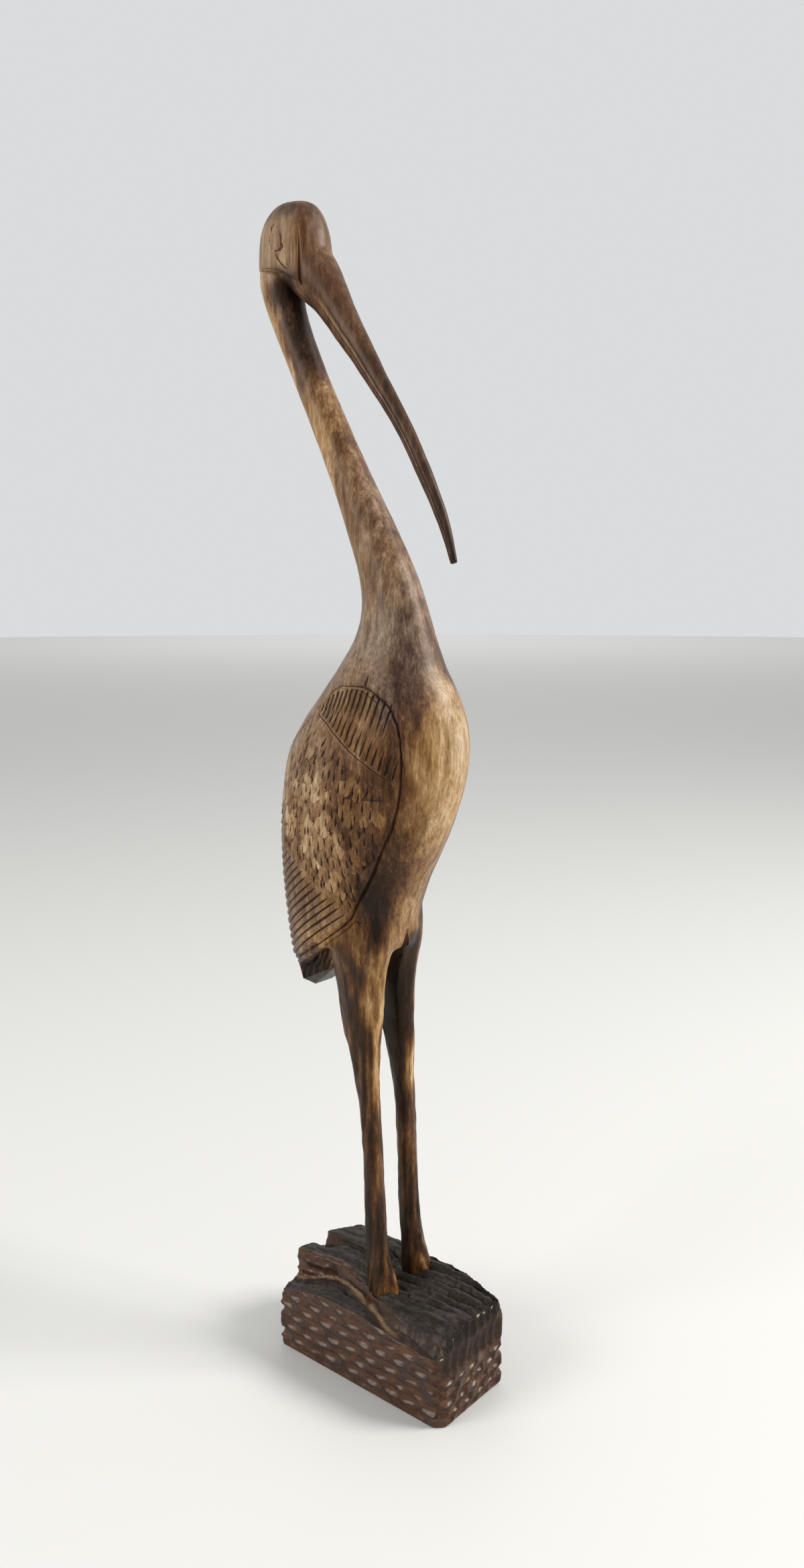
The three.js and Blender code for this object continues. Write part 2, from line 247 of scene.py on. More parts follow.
def scooped(along, up, pitch, lean, length, width, seed):
    """Staggered gouge scoops: how far each place is from the middle of its nearest
    scoop, 1 at the scoop's rim, and how far it is along that scoop, -1 to 1."""
    nearest = np.full(along.shape, 9.0)
    lengthwise = np.zeros(along.shape)
    first_row = np.floor(up / pitch[1])
    for down in (-1, 0, 1):
        row = first_row + down
        shift = 0.5 * (row % 2)
        first = np.floor(along / pitch[0] - shift)
        for across in (-1, 0, 1):
            column = first + across
            middle = (column + shift + 0.5 + 0.3 * (dice(row, column, seed) - 0.5)) * pitch[0]
            level = (row + 0.5 + 0.3 * (dice(row, column, seed + 1) - 0.5)) * pitch[1]
            a, u = along - middle, up - level
            turn = lean + 0.25 * (dice(row, column, seed + 2) - 0.5)
            p = (a * np.cos(turn) + u * np.sin(turn)) / length
            q = (u * np.cos(turn) - a * np.sin(turn)) / width
            closer = p * p + q * q < nearest
            nearest = np.where(closer, p * p + q * q, nearest)
            lengthwise = np.where(closer, p, lengthwise)
    return nearest, lengthwise


def round_the_plan(at):
    """How far round the rock's outline each place is, and how far inside the edge."""
    round_it = np.zeros(len(at))
    inside = np.full(len(at), 1e9)
    so_far = 0
    for (x0, y0), (x1, y1) in zip(ROCK_PLAN, ROCK_PLAN[1:] + ROCK_PLAN[:1]):
        length = math.hypot(x1 - x0, y1 - y0)
        way = ((x1 - x0) / length, (y1 - y0) / length)
        along = (at[:, 0] - x0) * way[0] + (at[:, 1] - y0) * way[1]
        depth = (at[:, 1] - y0) * way[0] - (at[:, 0] - x0) * way[1]
        closer = depth < inside
        inside = np.where(closer, depth, inside)
        round_it = np.where(closer, so_far + along, round_it)
        so_far += length
    return round_it, inside


def shelf_end(y):
    """How far aside the shelf ends and the slab above it begins."""
    return np.interp(y, *np.array(SHELF).T)


def rock_top(x, y):
    """The lie of the rock's top: a shelf low along the near side, a slab above it, and
    a second slab on the far side at the back."""
    near_edge = np.interp(y, [-46, -26, -3, 22, 35, 47], [31.7, 32.6, 35.3, 35.2, 32.6, 28.6])
    ledge = shelf_end(y)
    steepness = np.interp(y, [-32, -10, 8], [13, 5, 1.6])
    slab = 40.6 + 0.9 * np.sin(0.07 * y + 0.12 * x) + 1.4 * ramp(-y, 20, 46)
    slab = slab + 2.6 * ramp(x, 2.4, 3.6) * ramp(y, 6, 16)
    slab = slab - 4.5 * ramp(x, -9, 2.4) * (1 - ramp(x, 2.4, 3.6)) * ramp(y, 36, 47)
    slab = slab - 3 * ramp(x, 17, 26)
    return near_edge + (slab - near_edge) * ramp(x, ledge, ledge + steepness)


rock = block("rock", (0.07, 0.12, ROCK_HEIGHT * MM), (0, 0, ROCK_HEIGHT * MM / 2))
for (x0, y0), (x1, y1) in zip(ROCK_PLAN, ROCK_PLAN[1:] + ROCK_PLAN[:1]):
    saw((x0, y0, 0), (y1 - y0, x0 - x1, 0))
set_down()
finish_with(rock, "REMESH", mode="VOXEL", voxel_size=1.0 * MM)
at, facing = skin_of(rock)
at[:, 2] *= rock_top(at[:, 0], at[:, 1]) / ROCK_HEIGHT
carve_to(rock, at)
finish_with(rock, "REMESH", mode="VOXEL", voxel_size=0.62 * MM)
finish_with(rock, "SMOOTH", factor=0.5, iterations=3)

at, facing = skin_of(rock)
x, y, z = at.T
round_it, inside = round_the_plan(at)
upward = ramp(facing[:, 2], 0.45, 0.8)
outward = 1 - ramp(np.abs(facing[:, 2]), 0.45, 0.8)
front_end = ramp(-y, 45.6, 46.6) * outward
fluted = front_end * ramp(z, 20, 25)
side = outward * (1 - fluted)
near, lengthwise = scooped(round_it, z + 0.4, **SIDE_SCOOPS)
near_front, lengthwise_front = scooped(round_it, z, **FRONT_SCOOPS)
near = near + (near_front - near) * front_end
scoop = np.clip(1 - near, 0, 1)
flute = np.clip(1 - scooped(round_it, z + 3, **FLUTES)[0], 0, 1)
lengthwise = np.where(front_end > 0.5, lengthwise_front, lengthwise)
deeper_end = 1 + 0.5 * lengthwise * (scoop > 0)

wander = 2.2 * np.sin(y / 17) + 1.1 * np.sin(y / 7.3 + 1.3) + 0.03 * y
across = (x + wander) / RIDGE_PITCH
ridge = np.floor(across)
along_ridge = y / RIDGE_LENGTH + 3 * dice(ridge, 0, 4)
roll = np.abs(np.sin(math.pi * across)) ** 0.7
roll = roll * (0.75 + 0.25 * np.sin(math.pi * (along_ridge % 1)) ** 0.4)
torn = np.clip(ramp(-y, -22, -6) * ramp(x + 0.35 * y, -27, -15) + 0.2, 0, 1)
height = (roll - 1) * RIDGE_DEPTH * torn
height += RIDGE_STEP * (dice(ridge, np.floor(along_ridge), 6) - 0.5) * torn
rough = lumps(at, 3.4, 2) * 0.6 + lumps(at, 1.4, 5) * 0.3

depth = side * (SCOOP_DEPTH * (scoop**0.8 * deeper_end - 0.5))
depth = depth + fluted * FLUTE_DEPTH * (flute - 0.45)
depth = depth * (1 - 0.6 * ramp(z, 30, 36) * (1 - front_end))
off_the_floor = ramp(z, 0.2, 2.5)
at = at - facing * (depth * off_the_floor)[:, None]
at[:, 2] += upward * ramp(inside, -1, 2) * (height + rough * 0.85)
at[:, 2] -= upward * RIM_NOTCH * flute * ramp(-y, 41, 46.5)
at = at + facing * (outward * rough * 0.25 * off_the_floor)[:, None]
at[:, 2] = np.maximum(at[:, 2], 0)
carve_to(rock, at)

# What the flame and the gouge left behind, for the wood's colour, and painted shade
# between the scoops, in the flutes and between the ridges of the top.
end = shelf_end(y)
ledge = np.exp(-((x - end + 0.4) ** 2)) * ramp(y, -26, -14) * upward
wall = ramp(x, end - 1, end) * (1 - ramp(x, end + 3, end + 6)) * ramp(y, -10, 4)
near_feet = [np.exp(-(((at - place) / CHIP) ** 2).sum(1)) for place in FOOT_CHIPS]
rim = np.clip(1 - np.abs(facing[:, 2] - 0.45) / 0.4, 0, 1) * ramp(-y, 43.5, 45.5) * ramp(z, 28, 33)
chips = np.maximum(np.max(near_feet, axis=0) * 0.9, rim * (0.45 + 0.9 * lumps(at, 3.6, 12)))
# Painted shade: dark between the side scoops, deep in the front flutes and in the troughs between the
# ridges of the top.
painted_shade = side * (1 - scoop) ** 3 + fluted * flute**2 + upward * (1 - roll) * torn
scorch = (upward + 0.5 * ramp(z, 34, 38)) * (1 - 0.75 * wall) + 0.75 * fluted
attribute(rock, "scorch", scorch)
attribute(rock, "painted_shade", np.clip(painted_shade, 0, 1))
attribute(rock, "chips", chips)
attribute(rock, "ledge", ledge)
bpy.ops.object.shade_smooth()


def maths(tree, operation, *feeds, clamp=False):
    """One sum on sockets and plain values."""
    feeds = dict(enumerate(feeds))
    return put(tree, "ShaderNodeMath", feeds, operation=operation, use_clamp=clamp).outputs[0]


def mix(tree, share, under, over):
    """Two colours, with that share of the second."""
    feeds = {0: share, 6: under, 7: over}
    return put(tree, "ShaderNodeMix", feeds, data_type="RGBA").outputs[2]


def colours(tree, fac, stops):
    """A colour ramp with the given stops."""
    node = put(tree, "ShaderNodeValToRGB", {"Fac": fac})
    band = node.color_ramp
    while len(band.elements) < len(stops):
        band.elements.new(0.5)
    for element, (place, colour) in zip(band.elements, stops):
        element.position = place
        element.color = (*colour, 1)
    return node.outputs["Color"]


def grain_noise(tree, scale, detail=3, roughness=0.6, distortion=0.0):
    """Noise from -0.5 to 0.5, stretched; the scale is in patches per metre."""
    place = put(tree, "ShaderNodeTexCoord").outputs["Object"]
    place = put(tree, "ShaderNodeMapping", {"Vector": place, "Scale": scale}).outputs[0]
    feeds = {"Vector": place, "Scale": 1, "Detail": detail}
    feeds |= {"Roughness": roughness, "Distortion": distortion}
    return maths(tree, "SUBTRACT", put(tree, "ShaderNodeTexNoise", feeds).outputs["Fac"], 0.5)


def painted_on(tree, names):
    """The mesh's own values of those names, as sockets."""
    return [put(tree, "ShaderNodeAttribute", attribute_name=k).outputs["Fac"] for k in names]


def speckled(tree, cloud, share, middle, ash, fine):
    """Broad clouds and fine specks, as a place on a colour ramp."""
    broad = maths(tree, "MULTIPLY_ADD", cloud, share, middle)
    return maths(tree, "ADD", broad, maths(tree, "MULTIPLY", ash, fine), clamp=True)


BROWN = [(0.15, (0.022, 0.007, 0.003)), (0.5, (0.07, 0.024, 0.009)), (0.85, (0.16, 0.066, 0.026))]
BLACK = [(0.3, (0.006, 0.005, 0.0045)), (0.52, (0.02, 0.0165, 0.014)), (0.8, (0.09, 0.072, 0.056))]
# Near black, for the painted shade of the rock.
SHADE_BLACK = (0.008, 0.004, 0.003, 1)
RUBBED_EDGE = (0.23, 0.14, 0.075, 1)
BARE_WOOD = (0.42, 0.34, 0.25, 1)

charred, tree, shader = fresh_paint("charred_wood")
scorch, painted_shade, chips, ledge = painted_on(tree, ("scorch", "painted_shade", "chips", "ledge"))
cloud = grain_noise(tree, (160, 90, 160), 4, 0.65, 0.4)
ash = grain_noise(tree, (900, 260, 900), 4, 0.7)
brown = colours(tree, speckled(tree, cloud, 0.9, 0.5, ash, 0.5), BROWN)
black = colours(tree, speckled(tree, cloud, 0.8, 0.46, ash, 1.0), BLACK)
char = maths(tree, "MULTIPLY_ADD", cloud, 0.4, maths(tree, "SUBTRACT", scorch, 0.12), clamp=True)
colour = mix(tree, char, brown, black)
# The painted shade is laid over the wood's colour here.
colour = mix(tree, maths(tree, "MULTIPLY", painted_shade, 0.8), colour, SHADE_BLACK)
worn = maths(tree, "MULTIPLY", maths(tree, "MULTIPLY_ADD", ash, 3, 1), ledge, clamp=True)
colour = mix(tree, worn, colour, RUBBED_EDGE)
broken = fade(tree, maths(tree, "MULTIPLY_ADD", ash, 0.8, chips), 0.42, 0.5)
colour = mix(tree, broken, colour, BARE_WOOD)
relief = put(tree, "ShaderNodeBump", {"Height": ash, "Strength": 0.35, "Distance": 0.0005})
feed(tree, shader, {
    "Base Color": colour,
    "Roughness": fade(tree, char, 0, 1, 0.36, 0.6, "LINEAR"),
    "Coat Weight": fade(tree, char, 0, 1, 0.42, 0.1, "LINEAR"),
    "Coat Roughness": 0.27,
    "Specular IOR Level": 0.3,
    "Specular Tint": (1, 0.8, 0.65, 1),
    "Normal": relief.outputs[0],
})
rock.data.materials.clear()
rock.data.materials.append(charred)
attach(rock, "root")
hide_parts("crane_on_rock")

# Trunk, neck and legs
# The bird's body, from its feet to the top of the long neck: one run of the billet,
# rasped to shape and sanded smooth, with the legs parted by a pointed saw cut.
TRUNK = [  # height, centre (+ is backwards), half depth, half width
    (178, 35, 20, 17),
    (188, 31.5, 27.5, 21),
    (198, 29.2, 31.5, 23.8),
    (212, 28.8, 33, 26),
    (230, 26.4, 36.8, 28.5),
    (250, 21.5, 42, 30.5),
    (270, 16.6, 44.8, 31.5),
    (287, 13, 44.6, 31),
    (300, 9.6, 40.5, 28.7),
    (312, 6.5, 33.5, 25),
    (324, 5, 25.5, 20.5),
    (336, 3.2, 19.2, 16),
    (348, 3.4, 15.4, 13.4),
    (362, 6.8, 13.4, 11.8),
    (380, 15.1, 12, 10.5),
    (403, 27.2, 9.9, 9.1),
    (427, 40.1, 8.8, 8.2),
    (451, 53, 8.4, 7.9),
    (475, 64.9, 8.9, 8.3),
    (490, 69.5, 9.6, 9.6),
    (500, 70, 9, 9),
]
LEG = [  # height, out from the middle, centre, half depth, half width
    (232, 9.5, 17, 18, 10.5),
    (218, 10.2, 15.4, 16.8, 10.7),
    (208, 11, 15, 16.4, 10.9),
    (198, 11.9, 15.2, 15.2, 10.3),
    (186, 12, 15.2, 12.6, 8),
    (170, 12, 14.4, 10.8, 6.6),
    (160, 12, 13.6, 9.8, 6.1),
    (152, 12, 11.8, 8.2, 5.6),
    (144, 12, 10.7, 6.9, 5.2),
    (136, 12, 9.6, 5.9, 4.9),
    (126, 12, 8.6, 5.1, 4.7),
    (110, 12, 7.3, 4.7, 4.6),
    (89, 12, 6.2, 4.7, 4.7),
    (68, 12, 5.1, 5.1, 5),
    (54, 12, 3.4, 5.7, 5.4),
    (44, 12, 1.6, 7, 6.2),
    (34, 12, 0.6, 8.6, 7.6),
]
HIP = [  # height, out from the middle, centre, half depth, half width
    (208, 5.2, 0, 4.6, 5.2),
    (203, 5.8, 2.4, 4.6, 5),
    (198, 6.6, 5, 4.4, 4.6),
    (191, 7.6, 7.4, 4.1, 4),
    (181, 8.6, 9.2, 3.9, 3.4),
    (168, 9.6, 10.2, 3.6, 3),
    (154, 10.6, 10.4, 3, 2.6),
]
UNDER_TAIL = ((0, 22, 203), (0, 0.555, 0.832))
UNDER_BELLY = ((0, 0, 199.5), (0, 0, 1))


def fine_rows(rows, count):
    """More rows between the given ones, on a smooth curve through them."""
    rows = np.array(rows, float)
    padded = np.vstack([rows[:1], rows, rows[-1:], rows[-1:]])
    where = np.linspace(0, len(rows) - 1, count)
    i = np.minimum(where.astype(int), len(rows) - 2)
    f = (where - i)[:, None]
    p, q, r, s = (padded[i + k] for k in range(4))
    return q + 0.5 * f * (r - p + f * (2 * p - 5 * q + 4 * r - s + f * (3 * (q - r) + s - p)))


def ring_by_ring(name, rings, sides=40):
    """A closed body: a ring is drawn out to each next place, and there turned to its
    lean and stretched to its half depth and half width."""
    piece = start(name, bpy.ops.mesh.primitive_circle_add, vertices=sides, radius=1)
    place, deep, wide, lean = Vector(), 1, 1, 0
    for k, (x, y, z, next_deep, next_wide, next_lean) in enumerate(rings):
        step = Vector((x, y, z)) * MM - place
        place = place + step
        if k == 0:
            bpy.ops.transform.translate(value=step)
        else:
            bpy.ops.mesh.extrude_region_move(TRANSFORM_OT_translate={"value": step})
        if lean:
            bpy.ops.transform.rotate(value=lean, orient_axis="X", center_override=place)
        stretch = (next_wide * MM / wide, next_deep * MM / deep, 1)
        bpy.ops.transform.resize(value=stretch, center_override=place)
        if next_lean:
            bpy.ops.transform.rotate(value=-next_lean, orient_axis="X", center_override=place)
        deep, wide, lean = next_deep * MM, next_wide * MM, next_lean
    bpy.ops.mesh.select_all(action="SELECT")
    bpy.ops.mesh.fill_holes(sides=0)
    bpy.ops.mesh.normals_make_consistent(inside=False)
    return piece


def join_to(piece, others):
    """The others become part of the piece."""
    take_up(piece)
    for other in others:
        other.select_set(True)
    bpy.ops.object.join()


def cut_with(piece, cutter):
    """A cutter is taken out of a piece, and then thrown away."""
    finish_with(piece, "BOOLEAN", operation="DIFFERENCE", solver="MANIFOLD", object=cutter)
    bpy.data.objects.remove(cutter)


def smooth_where(piece, name, share, rounds):
    """A piece is smoothed by that many rounds, only where its share is above nothing."""
    group = piece.vertex_groups.new(name=name)
    for k in np.flatnonzero(share > 0.02):
        group.add([int(k)], float(share[k]), "REPLACE")
    finish_with(piece, "SMOOTH", factor=0.5, iterations=rounds, vertex_group=name)


body = ring_by_ring("body", [(0, y, z, a, b, 0) for z, y, a, b in fine_rows(TRUNK, 61)])
set_down()
offcut = start("offcut", bpy.ops.mesh.primitive_cube_add, size=0.14)
bpy.ops.transform.translate(value=(0, 0.03, 0.16))
saw(*UNDER_TAIL)
saw(*UNDER_BELLY)
set_down()
cut_with(body, offcut)

legs = []
for outside in (-1, 1):
    rings = []
    for z, x, y, a, b in fine_rows(LEG, 49):
        fuller = float(ramp(z, 150, 170) * (1 - ramp(z, 200, 215))) if outside < 0 else 0
        rings.append((outside * x, y - fuller, z, a + fuller, b, 0))
    inner_edge = [(outside * x, y, z, a, b, 0) for z, x, y, a, b in fine_rows(HIP, 25)]
    for each in (rings, inner_edge):
        legs.append(ring_by_ring("leg", each, 28))
        set_down()
join_to(body, legs)
finish_with(body, "REMESH", mode="VOXEL", voxel_size=0.95 * MM)
_, y, z = skin_of(body)[0].T
smooth_where(body, "hips", ramp(z, 184, 197) * (1 - ramp(z, 214, 236)) * (1 - ramp(y, 18, 30)), 26)

slit = block("slit", (0.014, 0.08, 0.07), (0, 0.012, 0.176))
for outside in (-1, 1):
    saw((0, 0, 208.5), (outside * 0.95, 0, 0.31))
    saw((outside * 5.3, 0, 186), (outside, 0, 0.07))
set_down()
cut_with(body, slit)
finish_with(body, "SMOOTH", factor=0.4, iterations=2)

trunk_rows = fine_rows(TRUNK, 600)


def trunk_at(z):
    """Centre, half depth and half width of the trunk's level section at z."""
    return [np.interp(z, trunk_rows[:, 0], trunk_rows[:, k]) for k in (1, 2, 3)]


# Wings
# Raised a hair above the body and bounded by a V-cut. Each is knifed by hand: two
# rows of short cuts over a ledge at the shoulder, scales, and long flight feathers.
WING_RAISE = 0.9
WING_OUTLINE = [  # back, up, as seen from the side
    (59.4, 280.5), (56.5, 284), (51.8, 286.8), (43.1, 292.2), (34.6, 299.5), (28.9, 305.2),
    (23.3, 310.4), (17.8, 315), (12.5, 317.1), (6, 317.4), (0.7, 317.1), (-3.3, 315.4),
    (-8.2, 312.3), (-12.5, 308.6), (-16.1, 302.2), (-17.7, 296.5), (-18.5, 290.1),
    (-18.7, 285.7), (-17.9, 276.7), (-15.9, 267.4), (-12.5, 257.6), (-7.9, 248.7),
    (-2.7, 238.2), (1.9, 229.9), (4.7, 225.3), (7.6, 220.1), (9.9, 215.2), (13.2, 212),
    (19, 207.2), (27.5, 201.1), (38, 194.7), (48, 189), (55, 184), (57.8, 181.6),
]
LEDGE = [
    (28.7, 305.8), (17.8, 300.9), (9.1, 294.9), (2.9, 290.3), (-4.8, 285.1), (-11.2, 280.5),
    (-15.6, 277.5),
]
FEATHER_BORDER = [
    (9.9, 215.2), (11.9, 221), (13.6, 224.6), (20, 228.1), (27.8, 231.3), (31.3, 236.8),
    (36.4, 239.9), (42.2, 242.4), (52, 247), (60, 250),
]
FEATHER_FOOT = 177.3
FEATHER_BACK = 64
FEATHER_PITCH = 3.93
FEATHER_SLOPE = 0.7
CUT_DEPTH = 0.85
SCALE_TOP = 312
SCALE_PITCH = (6.5, 3.8)
LOWER_CORNER = 27  # the first place of the outline that belongs to the lower corner


def unrolled(turn, z):
    """Places on the flank as on a flat sheet: millimetres round from the middle of the
    back, and up. A turn of 0 is the back, and half a turn is the breast."""
    _, a, b = trunk_at(z)
    nodes, weights = np.polynomial.legendre.leggauss(8)
    step = turn[..., None] * (nodes + 1) / 2
    speed = np.hypot(b[..., None] * np.cos(step), a[..., None] * np.sin(step))
    return np.stack([(speed * weights).sum(-1) * turn / 2, z], axis=-1)


def on_sheet(path):
    """Side-view points of a path on the flank, moved to the unrolled sheet."""
    y, z = np.array(path, float).T
    centre, a, _ = trunk_at(z)
    return unrolled(np.arccos(np.clip((y - centre) / a, -1, 1)), z)


def nearest_on(places, path):
    """Distance from each place to a path, how far along the path that is, and which
    side of it the place lies on."""
    steps = np.diff(path, axis=0)
    lengths = np.hypot(steps[:, 0], steps[:, 1])
    begins = np.concatenate([[0], np.cumsum(lengths)])
    best = np.full(len(places), 1e9)
    along = np.zeros(len(places))
    hand = np.ones(len(places))
    for k, step in enumerate(steps):
        reach = places - path[k]
        f = np.clip(reach @ step / lengths[k] ** 2, 0, 1)
        gap = reach - f[:, None] * step
        distance = np.hypot(gap[:, 0], gap[:, 1])
        closer = distance < best
        best = np.where(closer, distance, best)
        along = np.where(closer, (begins[k] + f * lengths[k]) / begins[-1], along)
        hand = np.where(closer, np.sign(step[0] * gap[:, 1] - step[1] * gap[:, 0]), hand)
    return best, along, hand


def within(places, corners):
    """Whether each place lies inside a closed outline."""
    inside = np.zeros(len(places), bool)
    for (x0, y0), (x1, y1) in zip(corners, np.roll(corners, -1, axis=0)):
        crosses = (y0 > places[:, 1]) != (y1 > places[:, 1])
        meets = x0 + (places[:, 1] - y0) * (x1 - x0) / (y1 - y0 if y1 != y0 else 1)
        inside ^= crosses & (places[:, 0] < meets)
    return inside


def knife(sheet, groove, line, path, width, depth, entry=0.3, exit=0.3, lean=0.0):
    """One V-cut along a path on the sheet, running out to a point at both ends. The
    line is how far inside the dark root of a cut each place is, in millimetres; the
    material paints it dark, as stain gathered in the cut and as painted shade."""
    path = np.array(path, float)
    spot = np.flatnonzero(((sheet > path.min(0) - 3) & (sheet < path.max(0) + 3)).all(1))
    if len(spot) == 0:
        return
    distance, along, hand = nearest_on(sheet[spot], path)
    full = np.clip(along / entry, 0, 1) * np.clip((1 - along) / exit, 0, 1)
    reach = width * (0.3 + 0.7 * full) * (1 + lean * hand)
    groove[spot] = np.maximum(groove[spot], depth * full**0.6 * np.clip(1 - distance / reach, 0, 1))
    line[spot] = np.maximum(line[spot], 0.33 * width * full**0.8 - distance)


outline = on_sheet(WING_OUTLINE)
wing_edge = np.vstack([[(-20, outline[0, 1])], outline, [(-20, outline[-1, 1])]])
ledge_y, ledge_z = np.array(LEDGE)[::-1].T
border_y, border_z = np.array(FEATHER_BORDER).T


def from_edge(sheet):
    """How far inside the wing's edge each place on the sheet is, whether it is inside,
    and how far it is from the edge of the lower corner."""
    edge, _, _ = nearest_on(sheet, wing_edge)
    inside = within(sheet, wing_edge)
    below_corner, _, _ = nearest_on(sheet, wing_edge[LOWER_CORNER:])
    return np.where(inside, edge, -edge), inside, below_corner


def cut_shoulder(sheet, groove, line, rng):
    """The ledge below the shoulder, and two rows of short cuts above it."""
    knife(sheet, groove, line, on_sheet(LEDGE), 0.8, 0.8, 0.1, 0.06)
    for k in range(17):
        y = 26.6 - 2.6 * k
        foot = np.interp(y, ledge_y, ledge_z) + 0.9
        reach = min(0.3 + 0.1 * k, 1) * rng.uniform(0.88, 1.1)
        middle = (y - 1.3 * reach, foot + 5.2 * reach)
        top = (y - 3.5 * reach, foot + 11 * reach)
        knife(sheet, groove, line, on_sheet([(y, foot), middle, top]), 1.0, 1.0, 0.12, 0.5, -0.35)
    for k in range(13):
        y = 20.5 - 2.75 * k
        top = 316.1 - 0.0175 * (y - 5) ** 2
        foot = top - (10.8 + 0.4 * k) * rng.uniform(0.9, 1.1)
        foot = max(foot, np.interp(y, ledge_y, ledge_z) + 1.5)
        path = on_sheet([(y, top), (y + 0.5, top / 2 + foot / 2), (y + 1.4, foot)])
        knife(sheet, groove, line, path, 0.95, 1.0, 0.06, 0.5, 0.35)


def cut_flights(sheet, groove, line, rng):
    """Long parallel cuts between the flight feathers, some with a short fine one by."""
    turns = np.radians(np.linspace(160, 1, 80))
    for k in range(1, 18):
        low = FEATHER_FOOT + FEATHER_PITCH * (k + rng.uniform(-0.09, 0.09))
        height = np.full(turns.shape, low)
        for _ in range(12):
            centre, a, _ = trunk_at(height)
            rise = FEATHER_SLOPE * (FEATHER_BACK - centre - a * np.cos(turns))
            height = 0.5 * height + 0.5 * (low + rise)
        centre, a, _ = trunk_at(height)
        y = centre + a * np.cos(turns)
        under = height < np.interp(y, border_y, border_z) + rng.uniform(-1.2, 0.6)
        if under.sum() > 4:
            path = unrolled(turns[under], height[under])[::3]
            knife(sheet, groove, line, path, 1.15, CUT_DEPTH * rng.uniform(1, 1.25), 0.08, 0.04, 0.45)
        if k in (2, 5, 6, 9) and under.sum() > 30:
            path = unrolled(turns[under], height[under] - 0.9)[2:18:3]
            knife(sheet, groove, line, path, 0.55, 0.4, 0.3, 0.6, 0.3)


def lay_scales(sheet, line, scaled, seed):
    """Overlapping scales: how far each place stands out, and its scale's own tint; a painted shadow line
    is laid along each scale's tip.
    """
    stray = 0.35 * lumps(np.column_stack([sheet, np.zeros(len(sheet))]), 3.1, seed)
    drop = (SCALE_TOP - sheet[:, 1]) / SCALE_PITCH[1]
    thick = np.zeros(len(sheet))
    flake = np.zeros(len(sheet))
    covered = np.zeros(len(sheet), bool)
    for over in (2, 1, 0):
        level = np.floor(drop) - over
        across = sheet[:, 0] / SCALE_PITCH[0] + 0.5 * (level % 2) + 0.1 * stray
        column = np.floor(across)
        p = 2 * (across - column) - 1 + 0.25 * (dice(level, column, seed) - 0.5)
        length = 1.75 + 0.6 * dice(level, column, seed + 1)
        q = (drop - level) / length + 0.12 * stray
        rounded = 1 - 0.42 * p * p
        here = ~covered & (q < rounded) & (dice(level, column, seed + 5) < 0.88)
        tilt = 0.5 * (dice(level, column, seed + 3) - 0.5) * p
        tip = (0.3 + 0.7 * dice(level, column, seed + 2)) * np.clip(q, 0, 1) + tilt
        thick = np.where(here, tip, thick)
        # A painted shadow line along the tip of each scale, where it drops to the one below.
        overhang = (rounded - q) * length * SCALE_PITCH[1]
        line[:] = np.where(here & (scaled > 0.4), np.maximum(line, 0.2 - overhang), line)
        flake = np.where(here, dice(level, column, seed + 4), flake)
        covered |= here
    return thick, flake


def cut_spindles(sheet, groove, line, edge, roof, foot, rng):
    """Staggered spindle cuts between the scales, from the ledge to the flights."""
    for level in range(0, 27):
        for column in range(0, 14):
            x = (column - 0.5 * (level % 2) + rng.uniform(-0.13, 0.13)) * SCALE_PITCH[0]
            top = SCALE_TOP - SCALE_PITCH[1] * (level + rng.uniform(-0.25, 0.25))
            long = rng.uniform(5, 8.6)
            k = np.argmin(np.hypot(sheet[:, 0] - x, sheet[:, 1] - top + 0.5 * long))
            outside = edge[k] < 2.2 or roof[k] - top < 3 or top - 0.75 * long < foot[k]
            if outside or rng.uniform() < 0.06:
                continue
            bend = rng.uniform(-0.5, 0.5)
            end = (x + rng.uniform(-0.5, 0.3), top - long)
            path = [(x, top), (x - 0.2 + bend, top - 0.45 * long), end]
            wide = rng.uniform(0.9, 1.45)
            knife(sheet, groove, line, path, wide, CUT_DEPTH * rng.uniform(0.85, 1.2), 0.6, 0.3, 0.3)


def close_shell(wing, lost, flank):
    """The lost rim is cut off, and the skin closed inwards, inside the body."""
    take_up(wing)
    bpy.ops.object.mode_set(mode="EDIT")
    bpy.ops.mesh.select_mode(type="VERT")
    bpy.ops.mesh.select_all(action="DESELECT")
    set_down()
    wing.data.vertices.foreach_set("select", lost)
    bpy.ops.object.mode_set(mode="EDIT")
    bpy.ops.mesh.delete(type="VERT")
    bpy.ops.mesh.select_non_manifold()
    bpy.ops.mesh.extrude_edges_move()
    bpy.ops.transform.resize(value=(0.85, 0.85, 1), center_override=(flank * 0.004, 0.025, 0.25))
    bpy.ops.mesh.extrude_edges_move()
    bpy.ops.mesh.merge(type="CENTER")
    bpy.ops.mesh.select_all(action="SELECT")
    bpy.ops.mesh.normals_make_consistent(inside=False)
    set_down()
    bpy.ops.object.shade_smooth()


